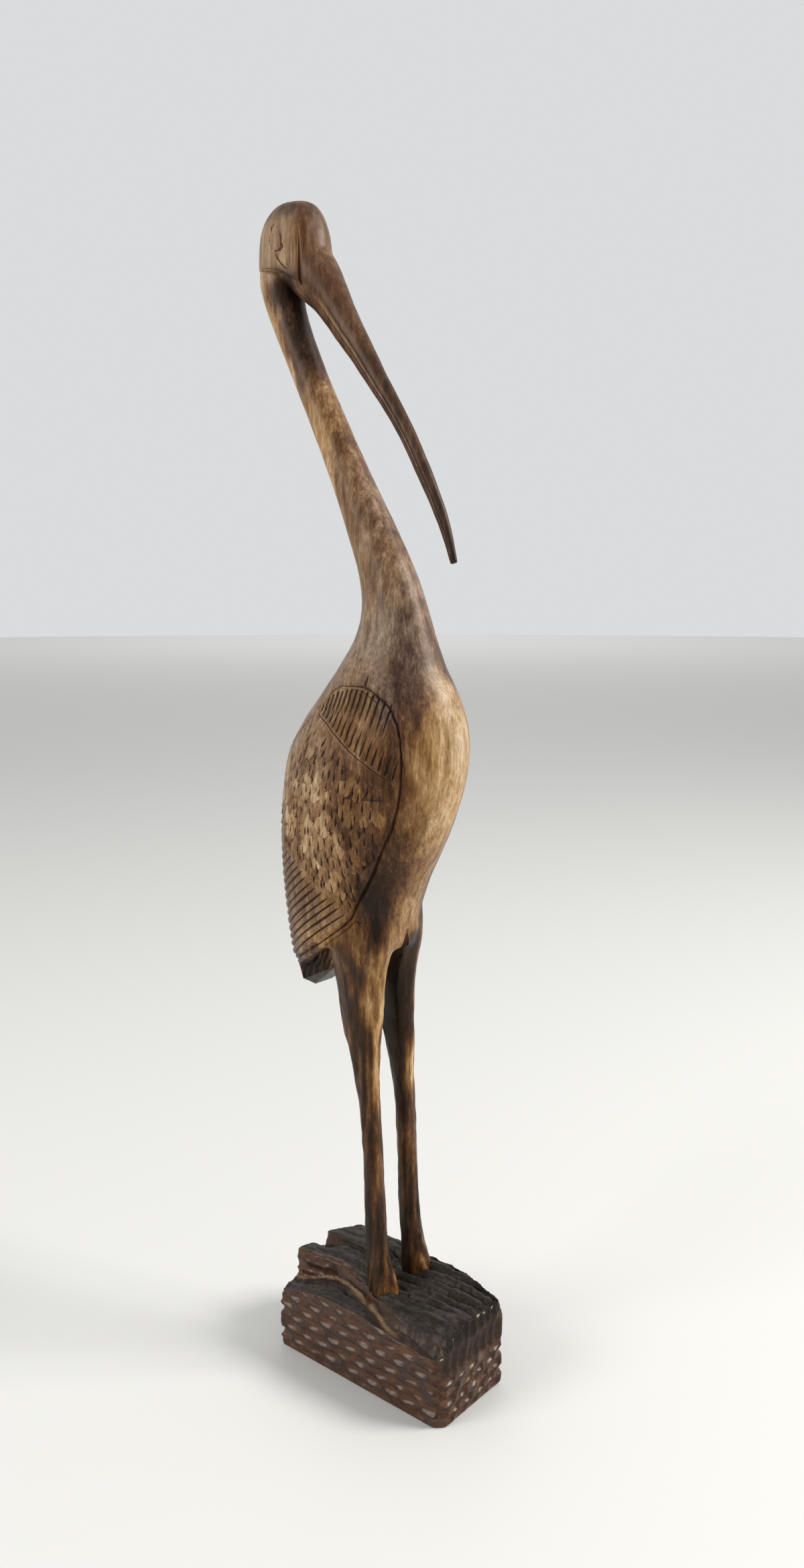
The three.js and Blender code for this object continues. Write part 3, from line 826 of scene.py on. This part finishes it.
def make_wing(name, flank, seed):
    """One wing, -1 for the right flank or 1 for the left."""
    rng = np.random.default_rng(seed)
    squares = {"x_subdivisions": 290, "y_subdivisions": 400}
    wing = start(name, bpy.ops.mesh.primitive_grid_add, size=1, **squares)
    set_down()
    at, _ = skin_of(wing)
    turn = (at[:, 0] * MM + 0.5) * math.radians(148)
    z = 176 + (at[:, 1] * MM + 0.5) * 149
    centre, a, b = trunk_at(z)
    carve_to(wing, np.stack([flank * b * np.sin(turn), centre + a * np.cos(turn), z], axis=1))
    at, facing = skin_of(wing)
    if (facing[:, 0] * flank).sum() < 0:
        wing.data.flip_normals()
        facing = -facing
    sheet = unrolled(turn, z)
    side_y = at[:, 1]
    edge, inside, below_corner = from_edge(sheet)

    groove = np.zeros(len(sheet))
    line = np.full(len(sheet), -2.0)
    cut_shoulder(sheet, groove, line, rng)
    cut_flights(sheet, groove, line, rng)
    feathers = z + FEATHER_SLOPE * side_y - FEATHER_FOOT - FEATHER_SLOPE * FEATHER_BACK
    feathers = feathers / FEATHER_PITCH
    scale_foot = np.interp(side_y, border_y, border_z)
    feathered = ramp(scale_foot - z, -0.5, 1.5) * inside

    outline_y, outline_z = np.array(WING_OUTLINE[:6]).T
    roof_y = np.concatenate([ledge_y, outline_y[::-1][1:]])
    roof_z = np.concatenate([ledge_z, outline_z[::-1][1:]])
    scale_roof = np.interp(side_y, roof_y, roof_z)
    scaled = ramp(scale_roof - z + 0.25 * (20 - side_y), 8, 17)
    scaled = scaled * ramp(z - scale_foot, -1, 3) * ramp(edge, 1.2, 3.5)
    thick, flake = lay_scales(sheet, line, scaled, seed)
    cut_spindles(sheet, groove, line, edge, scale_roof, scale_foot, rng)

    nick = on_sheet([(0.6, 324), (0.7, 317.4)])
    knife(sheet, groove, line, nick, 1.5, 0.7, 0.9, 0.05, 0.2)
    border = np.clip(1 - np.abs(edge) / 0.75, 0, 1) * 1.15
    # The V-cut round the wing, and a second one along the arch, are painted as dark lines: stain in
    # them, and painted shade.
    line = np.maximum(line, 0.24 - np.abs(edge))
    arch = ramp(z, 302, 311)
    second = np.clip(1 - np.abs(edge - 1.5) / 0.5, 0, 1) * 0.4 * arch
    line = np.maximum(line, 0.16 - np.abs(edge - 1.5) - 3 * (1 - arch))
    lip = 0.3 * np.exp(-(((edge + 1.3) / 0.7) ** 2))
    seam = np.clip(1 - sheet[:, 0] / 0.9, 0, 1) * 0.9 * inside
    rise = WING_RAISE * ramp(edge, 0, 1.8) + 0.1 - 0.24 * ramp(-edge, 4.5, 7.2)
    rise = rise - 0.9 * ramp(-edge, 1, 2.4) * (below_corner < 0.01 - edge)
    shoulder = scale_roof - z
    step = 0.45 * ramp(shoulder, 0, 0.8) * (1 - ramp(shoulder, 0.8, 9)) * ramp(edge, 0.5, 2)
    plump = 0.28 * (np.abs(np.sin(math.pi * feathers)) ** 0.6 - 0.6) * feathered
    uneven = 0.1 * lumps(at, 4, seed) + 0.05 * lumps(at, 1.7, seed + 3)
    height = rise - step + lip + (thick - 0.5) * 1.05 * scaled + plump
    height = height + uneven * ramp(edge, 0, 2)
    at = at + facing * (height - np.maximum.reduce([groove, border, second, seam]))[:, None]
    carve_to(wing, at)
    attribute(wing, "line", line)
    attribute(wing, "flake", np.where(scaled > 0.3, flake * scaled, 0.4 + 0.1 * feathered))
    lost = (edge < -7.4) | ((edge < -2.5) & (below_corner < -edge + 0.01))
    close_shell(wing, lost, flank)
    return wing


right_wing = make_wing("right_wing", -1, 11)
left_wing = make_wing("left_wing", 1, 12)

# The body is sunk under the wings, and a knot stands out on the right of the neck.
KNOT_BACK = 41.4
KNOT_UP = 443.8

at, facing = skin_of(body)
x, y, z = at.T
centre, a, b = trunk_at(z)
edge, _, below_corner = from_edge(unrolled(np.arctan2(np.abs(x) / b, (y - centre) / a), z))
edge = np.where((edge < 0) & (below_corner < 0.01 - edge), edge - 2.1, edge)
on_surface = np.abs(np.hypot(x / b, (y - centre) / a) - 1) < 0.12
sunk = np.where((z > 176) & (z < 326) & on_surface, ramp(edge, -4.6, -3), 0)
lean = 0.35 * (z - KNOT_UP)
knot = np.hypot((y - KNOT_BACK + lean) / 1.5, (z - KNOT_UP) / 2.9)
knot = np.where((z > 436) & (z < 452) & (x < -1), knot, 9)
swelling = 1.2 * np.clip(1 - knot, 0, 1)
swelling = swelling - 0.5 * np.exp(-(((knot - 1.35) / 0.35) ** 2)) * (y > 41 - lean)
shaved = 0.5 * lumps(at * (1, 1, 0.1), 3.1, 8) + 0.25 * lumps(at * (1, 1, 0.4), 2.2, 9)
shaved = shaved * (1 - ramp(z, 170, 205))
at = at + facing * (swelling - 2.4 * sunk + 0.12 * lumps(at, 9, 1) + shaved)[:, None]
carve_to(body, at)
round_knot = (knot < 3) & (y > 41.6 - lean)
# The groove round the back of the knot is painted dark: stain in it, and painted shade.
attribute(body, "line", np.where(round_knot, 0.12 - np.abs(knot - 1.25), -2))
attribute(body, "flake", 0.45 + 0.9 * np.clip(1 - knot, 0, 1))
take_up(body)
bpy.ops.object.shade_smooth_by_angle(angle=math.radians(50))

# Tail
# The end of the tail, under the wings: sawn off square, chamfered below with a few
# strokes of a chisel, and blackened.
tail = block("tail", (0.0245, 0.03, 0.06), (0, 0.043, 0.19))
saw((0, 52, 182), (0, 0.93, -0.36))
saw((0, 40, 194), (0, 0.555, 0.832))
saw((0, 52.7, 170), (0, -0.585, -0.811))
for outside in (-1, 1):
    saw((outside * 12, 50.6, 176.7), (outside * 0.55, -0.36, -0.75))
set_down()
finish_with(tail, "REMESH", mode="VOXEL", voxel_size=0.4 * MM)
finish_with(tail, "SMOOTH", factor=0.5, iterations=2)
at, facing = skin_of(tail)
sides = ramp(np.abs(facing[:, 0]), 0.75, 0.95)
flutes = np.abs(np.sin(math.pi * (at[:, 1] + 0.35 * at[:, 2]) / 3.1 + lumps(at, 4, 2))) ** 0.7
at = at - facing * (sides * 0.9 * (1 - flutes) + 0.1 * lumps(at, 2, 3))[:, None]
carve_to(tail, at)
# The troughs of the chisel flutes are painted dark: stain in them, and painted shade.
attribute(tail, "line", 0.3 * sides * (1 - flutes) - 0.2)
bpy.ops.object.shade_smooth_by_angle(angle=math.radians(40))

# Head and bill
# The end of the neck's billet: a rounded crown with flat cheeks, and a long bill that
# curves down and back. The eyes, cheeks and mouth are knife cuts.
HEAD = [  # height, centre, half depth, half width
    (482, 58.6, 17.6, 12.3),
    (492, 60, 18.6, 13.3),
    (500, 60.8, 18.6, 13.6),
    (508, 61, 17.6, 13.2),
    (512.5, 61, 16.3, 12.5),
    (517, 60.8, 14.3, 11),
    (520.7, 60.4, 11.4, 8.7),
    (522.8, 60, 7.8, 5.9),
    (523.7, 60, 3, 2.4),
]
BILL = [  # back, up, half depth, half width
    (60, 503, 13, 12.4),
    (48, 491, 11.3, 10.6),
    (41, 483, 9.2, 8.2),
    (35.4, 475.3, 7.8, 6.6),
    (29.4, 466.8, 6.9, 5.7),
    (22.3, 457.4, 5.9, 4.8),
    (14, 445.7, 4.9, 4),
    (5.2, 433.8, 4.1, 3.4),
    (-3.3, 421.2, 3.7, 3),
    (-12.2, 405.6, 3.4, 2.8),
    (-19.2, 392.2, 2.9, 2.4),
    (-24.2, 380.9, 2.4, 2),
    (-28.3, 368, 1.5, 1.3),
]
JAW = [(90, 498.5), (70, 495.5), (60, 493.3), (53, 490), (44, 484)]
CHEEK_CUT = [(49.6, 511), (48.9, 504.2), (48.4, 493.2), (48.6, 485.6)]
JAW_CUT = [
    (71.5, 495.2), (67, 495.3), (60.5, 493.9), (56.6, 492.6), (53.4, 490.3), (48.6, 486.2),
]
EYE = (60.4, 505.9, 3.3, 4.2)  # back, up, half width, half height
SOCKET = [
    (64.2, 513.4), (62.2, 514), (60.6, 511.6), (57.6, 509.4), (56.5, 504.3), (55.4, 502),
    (57.9, 501), (60.5, 500.9), (62.9, 502.8), (64.6, 507.4), (63.6, 509.6),
]
TEAR = [
    (60.2, 501.2), (55.6, 502.2), (54.1, 498.9), (53.9, 496.1), (52.6, 493.4), (54.4, 493.2),
    (57.1, 496.1), (59.4, 498.7),
]
BACK_OF_EYE = [
    (61.8, 514), (63.5, 512.6), (63.6, 509.6), (64.6, 507.3), (63.7, 505.2), (62.9, 503.2),
    (61.3, 501.7),
]
FRONT_OF_EYE = [(58.2, 509.2), (57.3, 507.5), (56.9, 505), (57.3, 503), (59.3, 501.5), (61.4, 501.8)]
EYE_CUTS = [  # width, then the places a knife point passed
    (0.6, BACK_OF_EYE),
    (0.45, [(62.6, 509.8), (61.2, 510.4), (59.4, 510.1), (57.9, 509)]),
    (1.1, FRONT_OF_EYE),
    (2.2, [(57.2, 504.4), (56.6, 502.9), (57.8, 501.9), (58.8, 501.6)]),
    (0.75, [(60.5, 501.4), (59.5, 498.8), (57.3, 496.2), (54, 493.3)]),
    (0.4, [(55.8, 502), (54.3, 499), (54, 496.2), (52.8, 493.6)]),
]

head = ring_by_ring("head", [(0, y, z, a, b, 0) for z, y, a, b in fine_rows(HEAD, 25)])
set_down()
jaw = block("jaw", (0.04, 0.06, 0.06), (0, 0.065, 0.475))
for (y0, z0), (y1, z1) in zip(JAW, JAW[1:]):
    saw((0, y0, z0), (0, z1 - z0, y0 - y1))
set_down()
cut_with(head, jaw)
bill_rows = fine_rows(BILL, 61)
ways = np.gradient(bill_rows[:, :2], axis=0)
leans = [math.atan2(dy, -dz) for dy, dz in ways]
bill = ring_by_ring("bill", [(0, y, z, a, b, lean) for (y, z, a, b), lean in zip(bill_rows, leans)], 32)
set_down()
join_to(head, [bill])
finish_with(head, "REMESH", mode="VOXEL", voxel_size=0.37 * MM)
finish_with(head, "SMOOTH", factor=0.5, iterations=5)
_, y, z = skin_of(head)[0].T
smooth_where(head, "root_of_bill", 1 - ramp(np.hypot(y - 43.5, z - 496), 7, 13), 150)

at, facing = skin_of(head)
sheet = at[:, 1:]
sideways = ramp(np.abs(facing[:, 0]), 0.25, 0.6)
groove = np.zeros(len(at))
line = np.full(len(at), -2.0)
knife(sheet, groove, line, CHEEK_CUT, 1.0, 1.2, 0.75, 0.06, -0.4)
knife(sheet, groove, line.copy(), [(51.2, 508), (50.6, 498), (50.9, 490.5)], 0.8, 0.3, 0.4, 0.4)
knife(sheet, groove, line, JAW_CUT, 1.2, 1.2, 0.05, 0.75, 0.2)
back = np.column_stack([-ways[:, 1], ways[:, 0]]) / np.hypot(*ways.T)[:, None]
back = back * np.sign(back[:, :1])
middle_of_bill, half_depth = bill_rows[:, :2], bill_rows[:, 2:3]
mouth = middle_of_bill + back * half_depth * 0.02
knife(sheet, groove, line, mouth[9:59], 0.95, 0.7, 0.15, 0.08, 0.35)
lower = middle_of_bill + back * half_depth * 0.35
knife(sheet, groove, line, lower[8:56], 0.75, 0.45, 0.2, 0.3)
strip, along_strip, _ = nearest_on(sheet, middle_of_bill + back * half_depth * 0.19)
pale_strip = 0.8 * np.exp(-((strip / 0.7) ** 2)) * (1 - 0.75 * ramp(along_strip, 0.3, 0.8))
pale_strip = pale_strip * ramp(along_strip, 0.12, 0.2)
knife(sheet, groove, line, [(-9.5, 408), (-14.5, 404.5)], 0.35, 0.2, 0.3, 0.3)

rim_of_socket, _, _ = nearest_on(sheet, np.array(SOCKET + SOCKET[:1]))
in_socket = within(sheet, np.array(SOCKET))
depth = in_socket * ramp(rim_of_socket, 0, 0.8) * 0.95
rim_of_tear, _, _ = nearest_on(sheet, np.array(TEAR + TEAR[:1]))
slant = 0.2 + 0.8 * ramp(sheet[:, 0], 52.8, 57.6)
in_tear = within(sheet, np.array(TEAR))
depth = np.maximum(depth, in_tear * ramp(rim_of_tear, 0, 0.5) * slant)
ball = np.hypot((sheet[:, 0] - EYE[0]) / EYE[2], (sheet[:, 1] - EYE[1]) / EYE[3])
ball_height = np.clip(1 - ball**2, 0, None) ** 0.35
depth = depth * (1 - ball_height) - 0.2 * ball_height
for wide, path in EYE_CUTS:
    knife(sheet, groove, line, path, wide, 0.25 + 0.3 * wide, 0.1, 0.12)
flat = ramp(np.abs(at[:, 1] - 59), 8.5, 7) * (ramp(at[:, 2], 490, 494) - ramp(at[:, 2], 512, 516))
cut = (np.maximum(groove, depth) + 0.25 * flat) * sideways
at = at - facing * (cut + 0.1 * lumps(at, 6, 4))[:, None]
carve_to(head, at)
attribute(head, "line", np.where(sideways > 0.5, line, -2))
attribute(head, "flake", 0.45 + pale_strip * sideways)
take_up(head)
bpy.ops.object.shade_smooth()

# Stain and lacquer
# The wood is pale under a satin lacquer. It was darkened by flame and rubbed with brown
# stain: black under the jaw, dark in the hips and legs, and left pale on the breast. It is
# paler down the back edges of the neck. Some tones are painted light and shade: highlights
# over paler stain down the fronts of the legs, at the top of the slit and along the lower
# rims of the wings, and shade on the outer sides of the legs and inside the slit.
TONES = [  # middle (to the side, back, up), reach, tone from 0 black to 1 straw, greyness
    ((10, 56, 520), (12, 14, 5), 0.45, 0.7),
    ((12, 59, 504), (8, 7, 9), 0.74, 0.5),
    ((11, 72, 500), (9, 7, 14), 0.7, 0.8),
    ((10, 50, 503), (9, 3, 12), 0.54, 0.1),
    ((6, 42, 500), (10, 5, 10), 0.5, 0.35),
    ((6, 44, 514), (10, 5, 7), 0.5, 0.7),
    ((4, 30, 475), (8, 12, 14), 0.42, 0.3),
    ((4, 0, 425), (8, 16, 22), 0.32, 0.35),
    ((3, -20, 388), (8, 8, 13), 0.28, 0.5),
    ((2, -28, 370), (8, 6, 6), 0.2, 0.8),
    ((4, 52, 484), (9, 4, 3.5), 0.7, 0.2),
    ((7, 61, 486), (13, 8, 5), -0.02, 0.2),
    ((8, 54, 470), (9, 8, 13), 0.17, 0.5),
    ((7, 47, 454), (9, 7, 9), 0.32, 0.4),
    ((8, 74, 477), (7, 6, 22), 0.95, 0.3),
    ((8, 64, 452), (7, 6, 20), 0.95, 0.3),
    ((5, 42, 440), (9, 6, 12), 0.6, 0.2),
    ((8, 46, 420), (7, 7, 16), 0.86, 0.2),
    ((8, 24, 402), (9, 6, 18), 0.58, 0.35),
    ((8, 36, 392), (7, 5, 18), 0.82, 0.3),
    ((0, 15, 400), (5, 5, 22), 0.66, 0.8),
    ((12, 8, 362), (9, 9, 14), 0.6, 0.5),
    ((14, 4, 338), (9, 8, 12), 0.71, 1.0),
    ((14, 17, 338), (9, 6, 12), 0.58, 0.9),
    ((0, -14, 352), (6, 8, 18), 0.6, 0.8),
    ((10, -14, 332), (9, 9, 13), 0.46, 0.8),
    ((17, -17, 314), (8, 8, 12), 0.4, 0.75),
    ((20, -21, 300), (7, 5, 8), 0.46, 0.2),
    ((21, 6, 324), (11, 10, 5), 0.64, 0.55),
    ((0, -32, 305), (8, 8, 26), 0.84, 0.5),
    ((12, -28, 292), (7, 8, 16), 0.76, 0.0),
    ((0, -27, 270), (10, 9, 24), 0.9, 0.2),
    ((16, -17, 262), (7, 7, 14), 0.6, 0.0),
    ((21, -10, 264), (6, 7, 22), 0.34, 0.0),
    ((17, -8, 240), (8, 8, 18), 0.22, 0.0),
    ((4, -15, 240), (7, 8, 18), 0.7, 0.2),
    ((17, -2, 217), (9, 7, 15), -0.04, 0.0),
    ((23, 6, 212), (5, 5, 9), 0.55, 0.0),
    ((20, 24, 198), (9, 10, 5), 0.4, 0.0),
    # Down the legs the fronts are paler and the outer sides darker: partly stain, partly a painted
    # highlight on the fronts and painted shade on the outer sides.
    ((8, -6, 212), (5, 6, 16), 0.94, 0.3),
    ((15, 2, 196), (5, 5, 9), 0.62, 0.0),
    ((16, 4, 180), (4, 5, 14), 0.72, 0.0),
    ((19, 14, 186), (7, 7, 12), 0.28, 0.0),
    ((9, 0, 182), (4.5, 5, 20), 0.76, 0.0),
    ((17, 20, 170), (8, 8, 14), 0.26, 0.0),
    ((11, 3, 150), (4, 5, 16), 0.96, 0.0),
    ((17, 9, 150), (6, 7, 16), 0.3, 0.0),
    ((12, 1, 105), (3, 4, 30), 0.54, 0.0),
    ((16, 6, 110), (5, 7, 36), 0.24, 0.0),
    ((12, 12, 110), (6, 5, 40), 0.2, 0.0),
    ((13, 0, 60), (8, 8, 16), 0.16, 0.0),
    # Painted shade on the insides of the legs, in the slit between them.
    ((3, 12, 178), (3.5, 11, 26), 0.06, 0.0),
    ((6, 8, 140), (2.5, 7, 24), 0.12, 0.0),
    ((0, 55, 178), (14, 10, 10), 0.02, 0.0),
    # Painted highlight along the lower rim of each wing.
    ((27, 27, 202), (8, 11, 4), 0.9, 0.1),
    # Painted highlight on the front edges of the legs at the top of the slit.
    ((4, -2, 204), (3, 3, 5), 0.85, 0.2),
    ((6, 3, 192), (2.5, 3, 6), 0.85, 0.1),
    ((12, -4, 46), (5, 4, 8), 0.5, 0.0),
    ((30, 45, 222), (10, 12, 16), 0.5, 0.3),
    ((0, 62, 215), (14, 8, 20), 0.52, 0.7),
    ((10, 60, 260), (16, 8, 30), 0.64, 0.8),
    ((0, 50, 300), (18, 10, 16), 0.6, 0.8),
    ((30, 30, 285), (10, 14, 14), 0.68, 0.6),
    ((30, 5, 300), (8, 12, 10), 0.57, 0.15),
    ((32, 26, 255), (8, 14, 26), 0.68, 0.25),
    ((30, 4, 262), (8, 9, 24), 0.5, 0.15),
    ((30, 38, 215), (12, 14, 16), 0.61, 0.4),
    ((28, 16, 228), (8, 8, 10), 0.6, 0.15),
]
TONE_STEPS = (0.0, 0.15, 0.3, 0.45, 0.6, 0.75, 0.88, 1.0)
WARM = [
    (0.006, 0.003, 0.002),
    (0.02, 0.008, 0.003),
    (0.046, 0.017, 0.006),
    (0.1, 0.04, 0.012),
    (0.19, 0.088, 0.028),
    (0.32, 0.17, 0.06),
    (0.46, 0.27, 0.11),
    (0.6, 0.43, 0.24),
]
COOL = [
    (0.008, 0.005, 0.005),
    (0.02, 0.012, 0.011),
    (0.046, 0.03, 0.026),
    (0.1, 0.062, 0.05),
    (0.185, 0.125, 0.088),
    (0.31, 0.225, 0.155),
    (0.42, 0.33, 0.23),
    (0.56, 0.49, 0.38),
]
PLAIN_FLAKE = 0.45


def rub(piece):
    """How dark and how grey each place of a piece is stained, with painted light and shade among the
    tones.
    """
    at, _ = skin_of(piece)
    # Painted shade on the inside of the far leg, where it is seen through the slit between the legs.
    far_leg_inside_shade = ramp(at[:, 0], 1, 4) * (1 - ramp(at[:, 0] - 0.25 * at[:, 1], 11.5, 14))
    far_leg_inside_shade = far_leg_inside_shade * ramp(at[:, 2], 142, 160) * (1 - ramp(at[:, 2], 203, 208)) * ramp(-at[:, 1], -24, -12)
    at = np.abs(at * (1, 0, 0)) + at * (0, 1, 1)
    streaky = at * (1, 1, 0.4)
    loose = 1 - 0.7 * ramp(at[:, 2], 455, 480)
    at[:, 1] += loose * (3.2 * lumps(streaky, 7, 21) + 1.6 * lumps(streaky, 2.4, 22))
    at[:, 2] += loose * (6 * lumps(streaky, 7, 23) + 4 * lumps(streaky, 2.4, 24))
    weight = np.full(len(at), 1e-4)
    tone = 0.55 * weight
    grey = 0.4 * weight
    for middle, reach, tone_here, grey_here in TONES:
        share = np.exp(-(((at - middle) / reach) ** 2).sum(1))
        weight += share
        tone += share * tone_here
        grey += share * grey_here
    streaks = 0.42 * lumps(streaky * (1, 1, 0.2), 2.1, 25) * (1 - 0.75 * ramp(streaky[:, 2], 70, 88))
    attribute(piece, "tone", (tone / weight + streaks) * (1 - 0.8 * far_leg_inside_shade))
    attribute(piece, "grey", grey / weight)


def new_group(name, takes, gives):
    """An empty shader node group with the sockets named."""
    group = bpy.data.node_groups.new(name, "ShaderNodeTree")
    for way, sockets in (("INPUT", takes), ("OUTPUT", gives)):
        for label, kind in sockets:
            group.interface.new_socket(name=label, in_out=way, socket_type="NodeSocket" + kind)
    return group, group.nodes.new("NodeGroupInput").outputs, group.nodes.new("NodeGroupOutput").inputs


stained, given, made = new_group(
    "Stained wood",
    [("Tone", "Float"), ("Grey", "Float"), ("Cut", "Float"), ("Contrast", "Float")],
    [("Color", "Color"), ("Height", "Float")],
)
streak = grain_noise(stained, (430, 430, 45), 4, 0.7, 0.8)
fleck = grain_noise(stained, (1300, 1300, 230), 4, 0.75, 0.4)
cloud = grain_noise(stained, (110, 110, 48), 4, 0.65, 0.8)
pore = grain_noise(stained, (4200, 4200, 420), 2, 0.5)
spread = maths(stained, "MULTIPLY_ADD", streak, 0.7, maths(stained, "MULTIPLY", fleck, 0.7))
spread = maths(stained, "MULTIPLY_ADD", cloud, 0.55, spread)
tone = maths(stained, "MULTIPLY_ADD", spread, given["Contrast"], given["Tone"])
# The cuts are painted darker: stain gathered in them, and painted shade in the grooves.
dark = fade(stained, given["Cut"], -0.1, 0.12)
# A painted highlight runs along both edges of each cut.
rim = fade(stained, given["Cut"], -0.55, -0.15)
rim = maths(stained, "MULTIPLY", rim, maths(stained, "SUBTRACT", 1, dark))
tone = maths(stained, "MULTIPLY_ADD", dark, -0.42, tone)
tone = maths(stained, "MULTIPLY_ADD", rim, 0.09, tone, clamp=True)
warm = colours(stained, tone, list(zip(TONE_STEPS, WARM)))
cool = colours(stained, tone, list(zip(TONE_STEPS, COOL)))
veil = maths(stained, "MULTIPLY_ADD", cloud, 0.8, given["Grey"], clamp=True)
height = maths(stained, "MULTIPLY_ADD", streak, 0.3, pore)
feed(stained, made, {"Color": mix(stained, veil, warm, cool), "Height": height})


def lacquered(name, contrast, bump):
    """The stained wood under a satin lacquer, as one material."""
    paint, tree, shader = fresh_paint(name)
    tone, grey, line, flake = painted_on(tree, ("tone", "grey", "line", "flake"))
    own_shade = maths(tree, "SUBTRACT", flake, PLAIN_FLAKE)
    tone = maths(tree, "MULTIPLY_ADD", own_shade, 0.28, tone)
    feeds = {"Tone": tone, "Grey": grey, "Cut": line, "Contrast": contrast}
    wood = put(tree, "ShaderNodeGroup", feeds, node_tree=stained).outputs
    relief = {"Height": wood["Height"], "Strength": bump, "Distance": 0.0002}
    feed(tree, shader, {
        "Base Color": wood["Color"],
        "Roughness": maths(tree, "MULTIPLY_ADD", wood["Height"], 0.25, 0.46),
        "Coat Weight": 0.14,
        "Coat Roughness": 0.3,
        "Specular IOR Level": 0.2,
        "Specular Tint": (1, 0.75, 0.55, 1),
        "Normal": put(tree, "ShaderNodeBump", relief).outputs[0],
    })
    return paint


rubbed = lacquered("lacquered_wood", 1.0, 0.25)
finer = lacquered("lacquered_head", 0.6, 0.2)
for piece in (right_wing, left_wing, body, tail, head):
    if "flake" not in piece.data.attributes:
        attribute(piece, "flake", np.full(len(piece.data.vertices), PLAIN_FLAKE))
    rub(piece)
    piece.data.materials.clear()
    piece.data.materials.append(finer if piece is head else rubbed)
    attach(piece, "root")
    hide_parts("crane_on_rock")
